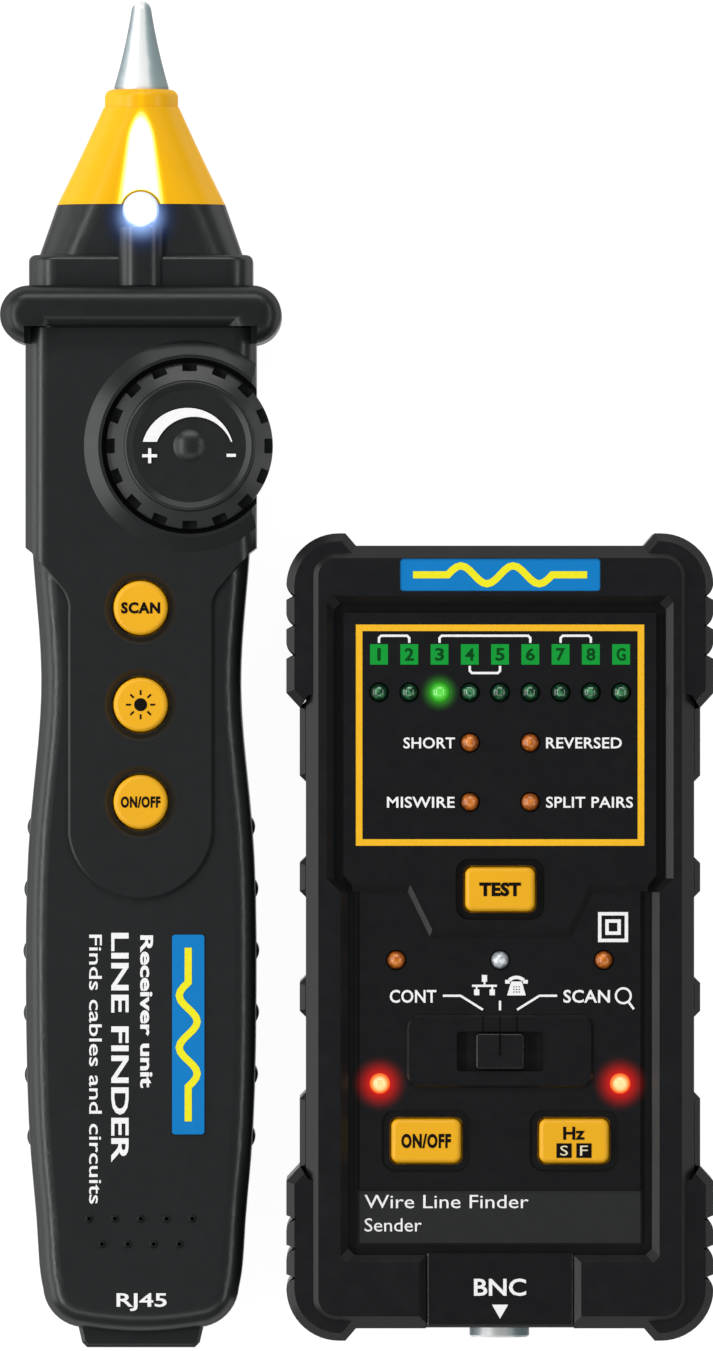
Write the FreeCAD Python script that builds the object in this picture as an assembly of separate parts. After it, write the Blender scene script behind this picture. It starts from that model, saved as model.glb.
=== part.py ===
import FreeCAD, Part
import math
import os

# A cable and circuit finder set of two hand-held units that lie on their backs, side by side:
# a long probe-like receiver with a metal tip, and a wide transmitter in a rubber holster.
# Millimetres. +X to the right, +Y towards the probe tip, +Z out of the front faces.
# Each unit is modelled about its own centre line with Y = 0 at its lower end and Z = 0 at its back,
# and is moved to its place in the shared frame when it is written.

V = FreeCAD.Vector
X_AXIS = V(1, 0, 0)
Y_AXIS = V(0, 1, 0)
Z_AXIS = V(0, 0, 1)

# ---------------------------------------------------------------- driving dimensions: the set
SET_WIDTH = 115.0
RECEIVER_LENGTH = 217.6
TRANSMITTER_LENGTH = 130.0
TRANSMITTER_ABOVE_RECEIVER_END = 1.4

# ---------------------------------------------------------------- driving dimensions: the receiver
WALL = 2.0
SEAM = 0.25                 # depth and width of the groove along each parting line
RX_PART_Z = 12.5            # parting plane of the two shells
GRIP_FRONT_Z = 24.6
PANEL_FRONT_Z = 25.4        # head and raised tongue
RX_CAVITY_TOP_Z = 22.6
GRIP_FRONT_ROUND = 3.5
GRIP_BACK_ROUND = 3.0
GRIP_SIDE = [(15.8, 9.6), (16.75, 19.0), (17.7, 30.0), (18.4, 44.0), (18.6, 60.0), (17.9, 84.5), (16.1, 107.5),
             (17.4, 127.0), (17.65, 131.0)]
HEAD_HALF = 18.65
HEAD_START_Y = 128.6
HEAD_END_Y = 164.6
HEAD_ROUND = 3.6
TONGUE_HALF = 11.7
TONGUE_END_Y = 72.4
NECK_HALF = 18.1
NECK_BACK_Z = 3.4
NECK_FRONT_Z = 25.0
NECK_ROUND = 4.5
NECK_END_Y = 176.4
COLLAR_HALF = 22.7
COLLAR_FRONT_Z = 29.0
COLLAR_START_Y = 164.8
COLLAR_END_Y = 171.4
COLLAR_ROUND = 3.2
COLLAR_LOW_ROUND = 2.2
COLLAR_BACK_ROUND = 1.8
LOBE_R = 4.7                 # round ends of the collar, down each side of the head
LOBE_INNER_X = 17.2          # the ends stop here over the head's rounded corners
NOSE_Z = 14.2               # height of the probe's axis
NOSE_SPLIT_Y = 184.6        # the black nose ends and the yellow cone starts
NOSE_TOP_Y = 203.3
LOWER_NOSE = [(176.0, 16.55, 9.9, 7.0), (184.6, 13.6, 9.0, 8.2)]     # y, half width, half height, corner
UPPER_NOSE = [(184.6, 13.6, 9.0, 8.2), (193.0, 9.5, 7.5, 7.0), (200.4, 6.1, 6.1, 5.9)]
NOSE_CAP = (200.4, 5.95, 5.95, 5.8)
TIP_BASE_R = 4.4
TIP_END_R = 1.6
TIP_WAIST = (2.8, 209.85)   # radius and place half-way up its slightly hollow flank
TIP_SHANK_R = 2.9
LAMP_Z = 23.4
LAMP_R = 2.95                # its round lens
LAMP_Y = 183.6
LAMP_BODY_R = 1.5
LAMP_RIB_HALF = 4.0
LAMP_RIB_TOP_Z = 26.6
LAMP_RIB_ROUND = 3.4
LAMP_RIB_END_Y = 180.8
KNOB_X = 7.9
KNOB_Y = 145.5
KNOB_R = 13.4
KNOB_FACE_R = 10.6
KNOB_NOTCHES = 16
KNOB_SIDE_Z = 25.9           # top of the wheel's upright side
KNOB_BAND_Z = 27.3           # inner edge of the sloping band round the face
NOTCH_FLOOR_Z = 24.4
KNOB_FACE_Z = 28.2
WELL_R = 14.2
WELL_FLOOR_Z = 19.6
SHAFT_R = 3.0
RUNNING_GAP = 0.05
RX_BUTTON_R = 4.36
RX_BUTTON_YS = {"scan": 119.4, "lamp": 103.8, "receiver_power": 88.1}
RX_BUTTON_TOP_Z = 26.3
BUTTON_TRAVEL = 0.5
RX_BOARD_Z = 12.4
BOARD_T = 1.6
RIB_YS = [34.0 + 10.0 * i for i in range(6)]
RX_SCREWS = [(-11.0, 88.8), (11.0, 88.8), (-12.6, 159.0), (12.6, 159.0)]

# ---------------------------------------------------------------- driving dimensions: the transmitter
BUMPER_HALF = 34.4
HOLSTER_HALF = 31.25
HOLSTER_START_Y = 2.0
HOLSTER_END_Y = 128.0
HOLSTER_FRONT_Z = 32.0
TX_BADGE_Y = 123.3
TX_BADGE_Z = HOLSTER_FRONT_Z - 0.2           # the badge lies just below the holster's face
HOLSTER_BEVEL = 2.0
BUMPER_FRONT_Z = 31.2
BUMPER_BEVEL = 1.3
NOTCH_D = 1.07               # depth of a thumb notch in the bumper's side
NOTCH_FRONT_D = 1.75         # its depth above its ledge
NOTCH_LEDGE_Z = 26.5
CASE_HALF = 28.9
CASE_START_Y = 4.2
CASE_END_Y = 125.8
CASE_BACK_Z = 1.2
CASE_FRONT_Z = 29.2         # floor of the groove round the panels
TX_PART_Z = 16.0
FLOOR_Z = 30.1              # lower panel
PANEL_T = 0.8               # thickness of the indicator panel
UPPER_HALF = 25.15
LOWER_HALF = 22.9
UPPER_END_Y = 117.2
STEP_Y = 73.4
LOWER_START_Y = 15.4
NAME_STRIP_Y = 24.3         # upper edge of the shallow recess for the name strip
NAME_STRIP_D = 0.35
FUNNEL = [(14.85, 72.3), (11.3, 65.05)]     # corners where its bevel meets the panel below
FUNNEL_BEVEL = (-0.4, 1.1)                  # from those corners to the ones on its face
WINDOW_GAP = 1.55           # groove between the panels and the holster's window
WINDOW_BEVEL = 1.2
HOOD_HALF = 11.85
HOOD_FRONT_Z = 31.0
BNC_Z = 16.0
BNC_BARREL_R = 4.83
BNC_POCKET_R = 8.75
BNC_POCKET_Y = 13.5
LED_R = 1.5
LED_HOLE_R = 1.65
LED_PITCH = 4.87
GREEN_Y = 104.4
AMBER_SPOTS = [(-4.85, 96.3), (4.85, 96.3), (-4.85, 86.75), (4.85, 86.75), (-16.7, 61.3), (16.7, 61.3)]
RED_SPOTS = [(-19.35, 41.4), (19.35, 41.4)]
CLEAR_SPOTS = [(0.0, 61.3)]
TX_BUTTON_SIZE = (11.2, 7.05)
TX_BUTTON_RECESS = (14.3, 9.9)
TEST_BUTTON_TOP_Z = 31.9
TX_BUTTON_TOP_Z = 31.3
TX_BUTTONS = {"test": (0.0, 72.7), "transmitter_power": (-11.9, 32.2), "tone": (11.9, 32.2)}
SWITCH_Y = 46.6
SWITCH_PLATE = (30.0, 11.7)
SWITCH_SLOT = (13.9, 6.4)
SWITCH_CAP = (7.8, 5.8)
SWITCH_STEP = 2.74          # distance between its three positions
TX_BOARD_Z = 22.0
TX_SCREWS = [(-21.3, 20.5), (21.3, 20.5), (-21.3, 111.0), (21.3, 111.0)]
JACK_T = 13.5               # height of a modular jack
JACK_DEPTH = 18.0
NETWORK_JACK_X = -9.6
PHONE_JACK_X = 9.6
NETWORK_JACK_W = 15.9
PHONE_JACK_W = 13.2

# ---------------------------------------------------------------- both units
BATTERY = (26.5, 48.5, 17.5)
DOOR_HALF = 13.65
TONGUE_W = 0.5
DOOR_T = 2.0
DOOR_GAP = 0.12
TACT = 6.0
PLUNGER_R = 1.6
BADGE = (32.2, 5.2, 0.25)


# ---------------------------------------------------------------- helpers
def box(x0, x1, y0, y1, z0, z1):
    return Part.makeBox(x1 - x0, y1 - y0, z1 - z0, V(x0, y0, z0))


def post(radius, x, y, z0, z1):
    return Part.makeCylinder(radius, z1 - z0, V(x, y, z0), Z_AXIS)


def rod(radius, x, z, y0, y1):
    return Part.makeCylinder(radius, y1 - y0, V(x, y0, z), Y_AXIS)


def prism(edges, z0, z1):
    """A plan outline, as edges at any height, extruded from z0 to z1."""
    wire = Part.Wire(Part.__sortEdges__(edges))
    wire.translate(V(0, 0, z0))
    return Part.Face(wire).extrude(V(0, 0, z1 - z0))


def polygon(points, z0, z1):
    corners = [V(x, y, 0) for x, y in points]
    return prism([Part.makeLine(a, b) for a, b in zip(corners, corners[1:] + corners[:1])], z0, z1)


def both_sides(points):
    """Right-hand points from low Y to high Y, followed by their mirror images back down."""
    return points + [(-x, y) for x, y in reversed(points)]


def rounded(width, height, radius, x, y, z0, z1):
    """An upright block with rounded vertical edges, centred on x, y."""
    block = box(x - width / 2, x + width / 2, y - height / 2, y + height / 2, z0, z1)
    upright = [e for e in block.Edges if abs(e.tangentAt(e.FirstParameter).z) > 0.9]
    return block.makeFillet(radius, upright)


def section_edges(half, z0, z1, radius, y):
    """Rounded rectangle in the XZ plane at height y, as eight edges that start at the lower left."""
    arc_in = radius * (1 - math.sqrt(0.5))
    left, right = -half, half
    points = [
        (V(left + radius, y, z0), V(right - radius, y, z0)),
        (V(right, y, z0 + radius), V(right, y, z1 - radius)),
        (V(right - radius, y, z1), V(left + radius, y, z1)),
        (V(left, y, z1 - radius), V(left, y, z0 + radius)),
    ]
    middles = [
        V(right - arc_in, y, z0 + arc_in),
        V(right - arc_in, y, z1 - arc_in),
        V(left + arc_in, y, z1 - arc_in),
        V(left + arc_in, y, z0 + arc_in),
    ]
    edges = []
    for index, (start, end) in enumerate(points):
        edges.append(Part.makeLine(start, end))
        following = points[(index + 1) % 4][0]
        edges.append(Part.Arc(end, middles[index], following).toShape())
    return edges


def section_prism(half, z0, z1, radius, y0, y1):
    wire = Part.Wire(section_edges(half, z0, z1, radius, y0))
    return Part.Face(wire).extrude(V(0, y1 - y0, 0))


def edges_at_z(shape, z, test=lambda centre: True):
    """Edges that lie wholly in the plane at height z and whose centre passes the test."""
    found = []
    for edge in shape.Edges:
        bounds = edge.BoundBox
        if abs(bounds.ZMin - z) < 1e-4 and abs(bounds.ZMax - z) < 1e-4 and test(edge.CenterOfMass):
            found.append(edge)
    return found


def fuse(shapes):
    return shapes[0].fuse(shapes[1:]).removeSplitter()


def cut(shape, tools):
    return shape.cut(Part.makeCompound(tools)) if len(tools) == 1 else shape.cut(tools)


def mirrored_x(shape):
    return shape.mirror(V(0, 0, 0), X_AXIS)


def save(name, shape, offset):
    """Writes the shape's solids, moved to their place in the shared frame."""
    solids = [s for s in shape.Solids if s.Volume > 0.02]
    placed = solids[0] if len(solids) == 1 else Part.makeCompound(solids)
    placed = placed.copy()
    placed.translate(offset)
    placed.exportStep(f"parts/{name}.step")
    print(f"{name}: {len(solids)} solids, {sum(s.Volume for s in solids):.1f} mm3, valid {placed.isValid()}")


# ---------------------------------------------------------------- shared pieces
def case_screw(x, y, head_z, head_t, end_z):
    """A cross-head screw that enters from the back, its head's outer face at head_z."""
    head_r, shank_r = 2.3, 1.3
    screw = fuse([post(head_r, x, y, head_z, head_z + head_t), post(shank_r, x, y, head_z + head_t - 0.1, end_z)])
    slot_l, slot_w, slot_d = 2.6, 0.6, 0.9
    cross = [
        box(x - slot_l / 2, x + slot_l / 2, y - slot_w / 2, y + slot_w / 2, head_z - 1, head_z + slot_d),
        box(x - slot_w / 2, x + slot_w / 2, y - slot_l / 2, y + slot_l / 2, head_z - 1, head_z + slot_d),
    ]
    return cut(screw, cross)


def tact_body(x, y, board_top, height):
    """The square body of a tactile switch, with the round hole that its plunger runs in."""
    body = box(x - TACT / 2, x + TACT / 2, y - TACT / 2, y + TACT / 2, board_top, board_top + height)
    hole_r = PLUNGER_R + 0.08
    return body.cut(post(hole_r, x, y, board_top + 1.2, board_top + height + 1))


def modular_jack(x, width, port_w, face_y, low_z, outward):
    """Housing of a modular socket. Its mouth faces -Y for outward = -1, or +Y for outward = 1."""
    back_y = face_y - outward * JACK_DEPTH
    y0, y1 = sorted((face_y, back_y))
    housing = box(x - width / 2, x + width / 2, y0, y1, low_z, low_z + JACK_T)
    port_depth = 13.0
    p0, p1 = sorted((face_y + outward, face_y - outward * port_depth))
    port_low = low_z + 3.9
    port_h = 6.7
    latch_w, latch_h = 6.1, 1.7
    key_w, key_h = 3.3, 1.0
    port = [
        box(x - port_w / 2, x + port_w / 2, p0, p1, port_low, port_low + port_h),
        box(x - latch_w / 2, x + latch_w / 2, p0, p1, port_low - latch_h, port_low),
        box(x - key_w / 2, x + key_w / 2, p0, p1, port_low - latch_h - key_h, port_low - latch_h),
    ]
    return cut(housing, port)


def jack_contacts(x, count, face_y, low_z, outward):
    """Sprung contact wires on the upper wall of a modular socket's mouth."""
    pitch, wire_t = 1.02, 0.4
    top_z = low_z + 3.9 + 6.7
    start = face_y - outward * 2.5
    end = face_y - outward * 12.6
    wires = []
    for index in range(count):
        wire_x = x + (index - (count - 1) / 2) * pitch
        side = [
            V(wire_x - wire_t / 2, start, top_z - 0.05),
            V(wire_x - wire_t / 2, end, top_z - 1.6),
            V(wire_x - wire_t / 2, end, top_z - 1.2),
            V(wire_x - wire_t / 2, start + outward * 0.2, top_z),
        ]
        outline = Part.makePolygon(side + side[:1])
        wires.append(Part.Face(outline).extrude(V(wire_t, 0, 0)))
    return wires


def battery_block(x, y0, z0):
    """A 9 V block with its two snap terminals on the +Y end."""
    width, length, thickness = BATTERY
    body_l = length - 2.5
    block = box(x - width / 2, x + width / 2, y0, y0 + body_l, z0, z0 + thickness)
    long_edges = [e for e in block.Edges if abs(e.tangentAt(e.FirstParameter).y) > 0.9]
    block = block.makeFillet(1.6, long_edges)
    middle_z = z0 + thickness / 2
    terminal_x = 6.35
    small = rod(2.7, x - terminal_x, middle_z, y0 + body_l - 0.1, y0 + length)
    large = rod(3.6, x + terminal_x, middle_z, y0 + body_l - 0.1, y0 + length)
    return fuse([block, small, large])


def battery_snap(x, y0, z0, lead_z, lead_end_y, board_z):
    """Snap connector over the battery's terminals, and its two leads, which rise to the board at board_z."""
    width, length, thickness = BATTERY
    middle_z = z0 + thickness / 2
    cap_y = y0 + length - 2.0
    plate = box(x - 12.5, x + 12.5, cap_y, cap_y + 3.6, middle_z - 6, middle_z + 6)
    terminal_x = 6.35
    plate = cut(plate, [rod(2.7, x - terminal_x, middle_z, cap_y - 1, y0 + length),
                        rod(3.6, x + terminal_x, middle_z, cap_y - 1, y0 + length)])
    leads = []
    for lead_x in (x - 4.0, x + 4.0):
        along = rod(0.5, lead_x, lead_z, cap_y + 3.6, lead_end_y)
        bend = Part.makeSphere(0.5, V(lead_x, lead_end_y, lead_z))
        leads.append(fuse([along, bend, post(0.5, lead_x, lead_end_y, lead_z, board_z)]))
    return Part.makeCompound([plate] + leads)


def door_prism(y0, y1, z0, clearance):
    """Sliding battery door with a tongue along each side, or with clearance the space it runs in."""
    half = DOOR_HALF + clearance
    plate = box(-half, half, y0, y1, z0 - clearance, z0 + DOOR_T + clearance / 2)
    rail = half + TONGUE_W
    tongues = box(-rail, rail, y0, y1, z0 + 0.95 - clearance, z0 + 1.55 + clearance)
    return fuse([plate, tongues])


def door_grip(y0, z0):
    """Five finger grooves across a battery door."""
    pitch, depth, groove_w = 2.2, 0.5, 1.1
    return [box(-7.0, 7.0, y0 + i * pitch, y0 + i * pitch + groove_w, z0 - 1, z0 + depth) for i in range(5)]


# ---------------------------------------------------------------- receiver: its outer form
def grip_side_curve(inset):
    points = [V(x - inset, y, 0) for x, y in GRIP_SIDE]
    points[0].y += inset * 0.3
    curve = Part.BSplineCurve()
    curve.interpolate(Points=points, InitialTangent=V(0.25, 1, 0), FinalTangent=V(0.05, 1, 0))
    return curve


def grip_half_width(y):
    """Half width of the grip at height y, from the side curve."""
    curve = grip_side_curve(0)
    low, high = curve.FirstParameter, curve.LastParameter
    for _ in range(40):
        middle = (low + high) / 2
        if curve.value(middle).y < y:
            low = middle
        else:
            high = middle
    return curve.value(low).x


def grip_outline(inset):
    side = grip_side_curve(inset)
    foot = V(GRIP_SIDE[0][0] - inset, GRIP_SIDE[0][1] + inset * 0.3, 0)
    heel = V(10.6 - inset * 0.4, 3.45 + inset, 0)
    corner = Part.Arc(heel, V(14.25 - inset * 0.75, 5.75 + inset * 0.65, 0), foot).toShape()
    bottom = Part.Arc(V(-heel.x, heel.y, 0), V(0, 2.4 + inset, 0), heel).toShape()
    right = [corner, side.toShape()]
    left = [mirrored_x(edge) for edge in right]
    head_x, head_y = GRIP_SIDE[-1]
    top = Part.makeLine(V(-head_x + inset, head_y, 0), V(head_x - inset, head_y, 0))
    return [bottom, top] + right + left


def grip(inset, z0, z1, front_round, back_round):
    solid = prism(grip_outline(inset), z0, z1)
    below_head = GRIP_SIDE[-1][1] - 0.5
    solid = solid.makeFillet(front_round, edges_at_z(solid, z1, lambda c: c.y < below_head))
    return solid.makeFillet(back_round, edges_at_z(solid, z0, lambda c: c.y < below_head))


def tongue_outline(inset):
    """Plan of the head with the tongue that runs down the grip, its lower end an arc."""
    shoulder_y = HEAD_START_Y + inset
    side = TONGUE_HALF - inset
    wide = HEAD_HALF + 1
    arc_y = TONGUE_END_Y + 10.4
    end_y = TONGUE_END_Y + inset
    bend = V(side + 0.25, 121.0, 0)
    points = [V(side, arc_y, 0), V(side, 118.5, 0)]
    slope = [V(13.2 - inset, 123.0, 0), V(17.6, shoulder_y - 0.3, 0), V(wide, shoulder_y + 1.3, 0),
             V(wide, HEAD_END_Y, 0)]
    right = [Part.makeLine(points[0], points[1]), Part.Arc(points[1], bend, slope[0]).toShape()]
    right += [Part.makeLine(a, b) for a, b in zip(slope, slope[1:])]
    left = [mirrored_x(edge) for edge in right]
    end = Part.Arc(V(-side, arc_y, 0), V(0, end_y, 0), V(side, arc_y, 0)).toShape()
    top = Part.makeLine(V(-wide, HEAD_END_Y, 0), V(wide, HEAD_END_Y, 0))
    return right + left + [end, top]


def head_and_tongue():
    bar = section_prism(HEAD_HALF, 0, PANEL_FRONT_Z, HEAD_ROUND, TONGUE_END_Y - 2, HEAD_END_Y)
    bevel = 0.35
    wires = []
    for inset, z in ((0, PANEL_FRONT_Z - bevel), (bevel, PANEL_FRONT_Z)):
        wire = Part.Wire(Part.__sortEdges__(tongue_outline(inset)))
        wire.translate(V(0, 0, z))
        wires.append(wire)
    straight = prism(tongue_outline(0), -1, PANEL_FRONT_Z - bevel)
    return bar.common(straight.fuse(Part.makeLoft(wires, True, True)))


def nose_wire(section, inset):
    y, half, rise, radius = section
    r = max(radius - inset, 0.8)
    return Part.Wire(section_edges(half - inset, NOSE_Z - rise + inset, NOSE_Z + rise - inset, r, y))


def nose_form(inset, y_low, y_high):
    """Straight-sided lower nose and curved upper nose, down to the round end that holds the tip."""
    lower = Part.makeLoft([nose_wire(section, inset) for section in LOWER_NOSE], True, True)
    upper = Part.makeLoft([nose_wire(section, inset) for section in UPPER_NOSE], True, False)
    return fuse([lower, upper]).common(box(-40, 40, y_low, y_high, -10, 50))


def receiver_outer():
    grip_solid = grip(0, 0, GRIP_FRONT_Z, GRIP_FRONT_ROUND, GRIP_BACK_ROUND)
    neck = section_prism(NECK_HALF, NECK_BACK_Z, NECK_FRONT_Z, NECK_ROUND, HEAD_END_Y - 3, NECK_END_Y)
    neck_end = [e for e in neck.Edges if e.BoundBox.YMin > NECK_END_Y - 1e-3]
    neck = neck.makeFillet(1.1, neck_end)
    nose = nose_form(0, NECK_END_Y - 0.4, NOSE_SPLIT_Y)
    return fuse([grip_solid, head_and_tongue(), neck, nose])


def receiver_cavity():
    lower = prism(grip_outline(WALL), WALL, RX_CAVITY_TOP_Z)
    head = section_prism(HEAD_HALF - WALL, WALL, RX_CAVITY_TOP_Z, 2.0, GRIP_SIDE[-1][1] - 2, HEAD_END_Y - 3)
    neck_top = RX_CAVITY_TOP_Z - 2.1
    neck = section_prism(NECK_HALF - WALL, NECK_BACK_Z + WALL, neck_top, 2.5, HEAD_END_Y - 4, NECK_END_Y - WALL)
    nose = nose_form(WALL, NECK_END_Y - 0.4, NOSE_SPLIT_Y + 1)
    link = box(-13.5, 13.5, NECK_END_Y - 3, NECK_END_Y + 0.6, NOSE_Z - 6.2, NOSE_Z + 6.2)
    return fuse([lower, head, neck, link, nose])


def jack_rim():
    """Tapered surround of the socket in the receiver's lower end."""
    low_y, corner = 0.0, 0.8
    points = both_sides([(9.5 - corner, low_y), (9.5, low_y + corner), (10.6, 5.5)])
    rim = polygon(points, 4.1, 21.0)
    ends = edges_at_z(rim, 21.0) + edges_at_z(rim, 4.1)
    return rim.makeFillet(0.7, ends)


def side_ribs():
    """Low rounded finger ribs on both sides of the grip."""
    swell, length = 0.46, 2.8
    radius = ((length / 2) ** 2 + swell ** 2) / (2 * swell)
    ribs = []
    for y in RIB_YS:
        x = grip_half_width(y) + swell - radius
        rib = post(radius, x, y, 6.5, 18.5)
        rib = rib.makeFillet(1.6, edges_at_z(rib, 6.5) + edges_at_z(rib, 18.5))
        ribs += [rib, mirrored_x(rib)]
    return ribs


def knob_rim():
    """Low cone round the knob's well, trimmed to the head's side."""
    cone = Part.makeCone(17.05, 14.75, 1.5, V(KNOB_X, KNOB_Y, PANEL_FRONT_Z))
    root = post(17.05, KNOB_X, KNOB_Y, PANEL_FRONT_Z - 1.5, PANEL_FRONT_Z)
    keep = section_prism(HEAD_HALF, 5, PANEL_FRONT_Z + 3, HEAD_ROUND, HEAD_START_Y - 3, HEAD_END_Y)
    return fuse([cone, root]).common(keep)


def vent_spots():
    pitch = 4.16
    upper = [((i - 2) * pitch, 20.9) for i in range(5)]
    lower = [((i - 1.5) * pitch, 16.8) for i in range(4)]
    return upper + lower


def receiver_shells():
    outer = fuse([receiver_outer(), jack_rim(), knob_rim()] + side_ribs())
    vents = [Part.makeCone(0.68, 0.42, 0.35, V(x, y, GRIP_FRONT_Z)) for x, y in vent_spots()]
    rib = section_prism(LAMP_RIB_HALF, RX_CAVITY_TOP_Z - 6, LAMP_RIB_TOP_Z, LAMP_RIB_ROUND,
                        COLLAR_END_Y, LAMP_RIB_END_Y)
    form = fuse([outer, rib] + vents)

    well_cup = post(WELL_R + 1.6, KNOB_X, KNOB_Y, WELL_FLOOR_Z - 1.6, PANEL_FRONT_Z - 1).common(receiver_outer())
    bosses = []
    for x, y in RX_SCREWS:
        bosses.append(post(3.3, x, y, 1.0, RX_CAVITY_TOP_Z + 0.5))
    cable_gap = box(12.8, 15.0, 24, 27, 8.0, 16.0)
    compartment_wall = box(-17, 17, 24.6, 26.2, DOOR_T + DOOR_GAP, 19.2).cut(cable_gap)
    hollow = receiver_cavity()
    inside = fuse(bosses + [compartment_wall]).common(hollow)
    shell = fuse([form.cut(hollow), well_cup, inside])

    jack_w = NETWORK_JACK_W + 0.2
    tools = [
        post(WELL_R, KNOB_X, KNOB_Y, WELL_FLOOR_Z, 40),
        post(SHAFT_R + 0.25, KNOB_X, KNOB_Y, WELL_FLOOR_Z - 3, WELL_FLOOR_Z + 1),
        rod(LAMP_BODY_R + 0.05, 0, LAMP_Z, 174.5, 190),
        Part.makeSphere(LAMP_R + 0.2, V(0, LAMP_Y, LAMP_Z)),
        box(-jack_w / 2, jack_w / 2, -1, 8.0, 5.9 - 0.1, 5.9 + JACK_T + 0.1),
        door_prism(-1, 84.0 + DOOR_GAP, 0, DOOR_GAP),
    ]
    for y in RX_BUTTON_YS.values():
        tools.append(post(RX_BUTTON_R + 0.38, 0, y, RX_CAVITY_TOP_Z - 1, 30))
        tools.append(Part.makeCone(5.0, 5.9, 0.75, V(0, y, PANEL_FRONT_Z - 0.7)))
    for x, y in vent_spots():
        tools.append(post(0.3, x, y, RX_CAVITY_TOP_Z - 1, 30))
    for x, y in RX_SCREWS:
        tools.append(post(1.3, x, y, 2, 19.0))
        tools.append(post(2.6, x, y, -1, 5.0))
    shell = cut(shell, tools)

    seam_band = receiver_seam()
    front = shell.common(box(-40, 40, -10, 200, RX_PART_Z, 50)).cut(seam_band)
    rear = shell.common(box(-40, 40, -10, 200, -10, RX_PART_Z))
    return front, rear


def receiver_seam():
    """Thin band just above the parting plane, open to the outside, that leaves a fine groove."""
    z0, z1 = RX_PART_Z, RX_PART_Z + SEAM
    lower = prism(grip_outline(-1), z0, z1).cut(prism(grip_outline(SEAM), z0, z1))
    lower = lower.common(box(-40, 40, 2.5, HEAD_START_Y, z0, z1)).cut(box(-10.7, 10.7, 0, 5, z0, z1))
    head = box(-25, 25, HEAD_START_Y, HEAD_END_Y, z0, z1).cut(
        box(-HEAD_HALF + SEAM, HEAD_HALF - SEAM, HEAD_START_Y, HEAD_END_Y, z0, z1))
    neck = box(-25, 25, COLLAR_END_Y, NECK_END_Y, z0, z1).cut(
        box(-NECK_HALF + SEAM, NECK_HALF - SEAM, COLLAR_END_Y, NECK_END_Y, z0, z1))
    return fuse([lower, head, neck])


def receiver_battery_door():
    door = door_prism(0, 84.0, 0, 0).common(receiver_outer())
    return cut(door, door_grip(12.0, 0))


def collar_ring():
    """Soft bumper ring round the neck: a rounded bar whose round ends hang down both sides of the head."""
    end_x, end_y = COLLAR_HALF - LOBE_R, COLLAR_END_Y - LOBE_R
    bar = box(-end_x, end_x, COLLAR_START_Y, COLLAR_END_Y, 0, COLLAR_FRONT_Z)
    for y, radius in ((COLLAR_END_Y, COLLAR_ROUND), (COLLAR_START_Y, COLLAR_LOW_ROUND)):
        bar = bar.makeFillet(radius, edges_at_z(bar, COLLAR_FRONT_Z, lambda c: abs(c.x) < 1 and abs(c.y - y) < 0.01))
    bar = bar.makeFillet(COLLAR_BACK_ROUND, edges_at_z(bar, 0, lambda c: abs(c.x) < 1))
    end = post(LOBE_R, end_x, end_y, 0, COLLAR_FRONT_Z)
    end = end.makeFillet(COLLAR_ROUND, edges_at_z(end, COLLAR_FRONT_Z))
    end = end.makeFillet(COLLAR_BACK_ROUND, edges_at_z(end, 0))
    ring = fuse([bar, end, mirrored_x(end)])
    bore = section_prism(NECK_HALF, NECK_BACK_Z, NECK_FRONT_Z, NECK_ROUND, end_y - 8, end_y + 8)
    head = section_prism(HEAD_HALF + 0.1, -0.1, PANEL_FRONT_Z + 0.1, HEAD_ROUND, end_y - 8, COLLAR_START_Y)
    side = HEAD_HALF + 0.1
    over_corner = box(-LOBE_INNER_X, LOBE_INNER_X, end_y - 8, COLLAR_START_Y, PANEL_FRONT_Z - 6, COLLAR_FRONT_Z + 1)
    over_head = box(-side, side, end_y - 8, COLLAR_START_Y, PANEL_FRONT_Z - 1, COLLAR_FRONT_Z + 1)
    return ring.cut([bore, head, over_corner, over_head])


def nose_cone():
    cone = nose_form(0, NOSE_SPLIT_Y, NOSE_CAP[0])
    cap = Part.Face(nose_wire(NOSE_CAP, 0)).extrude(V(0, NOSE_TOP_Y - NOSE_CAP[0], 0))
    rim = [e for e in cap.Edges if e.BoundBox.YMin > NOSE_TOP_Y - 1e-3]
    cap = cap.makeFillet(1.3, rim)
    hollow = nose_form(WALL, NOSE_SPLIT_Y - 1, 198.4)
    lamp_space = Part.makeSphere(LAMP_R + 0.35, V(0, LAMP_Y, LAMP_Z))
    return cut(fuse([cone, cap]), [hollow, rod(TIP_SHANK_R, 0, NOSE_Z, 190, 210), lamp_space])


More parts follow.
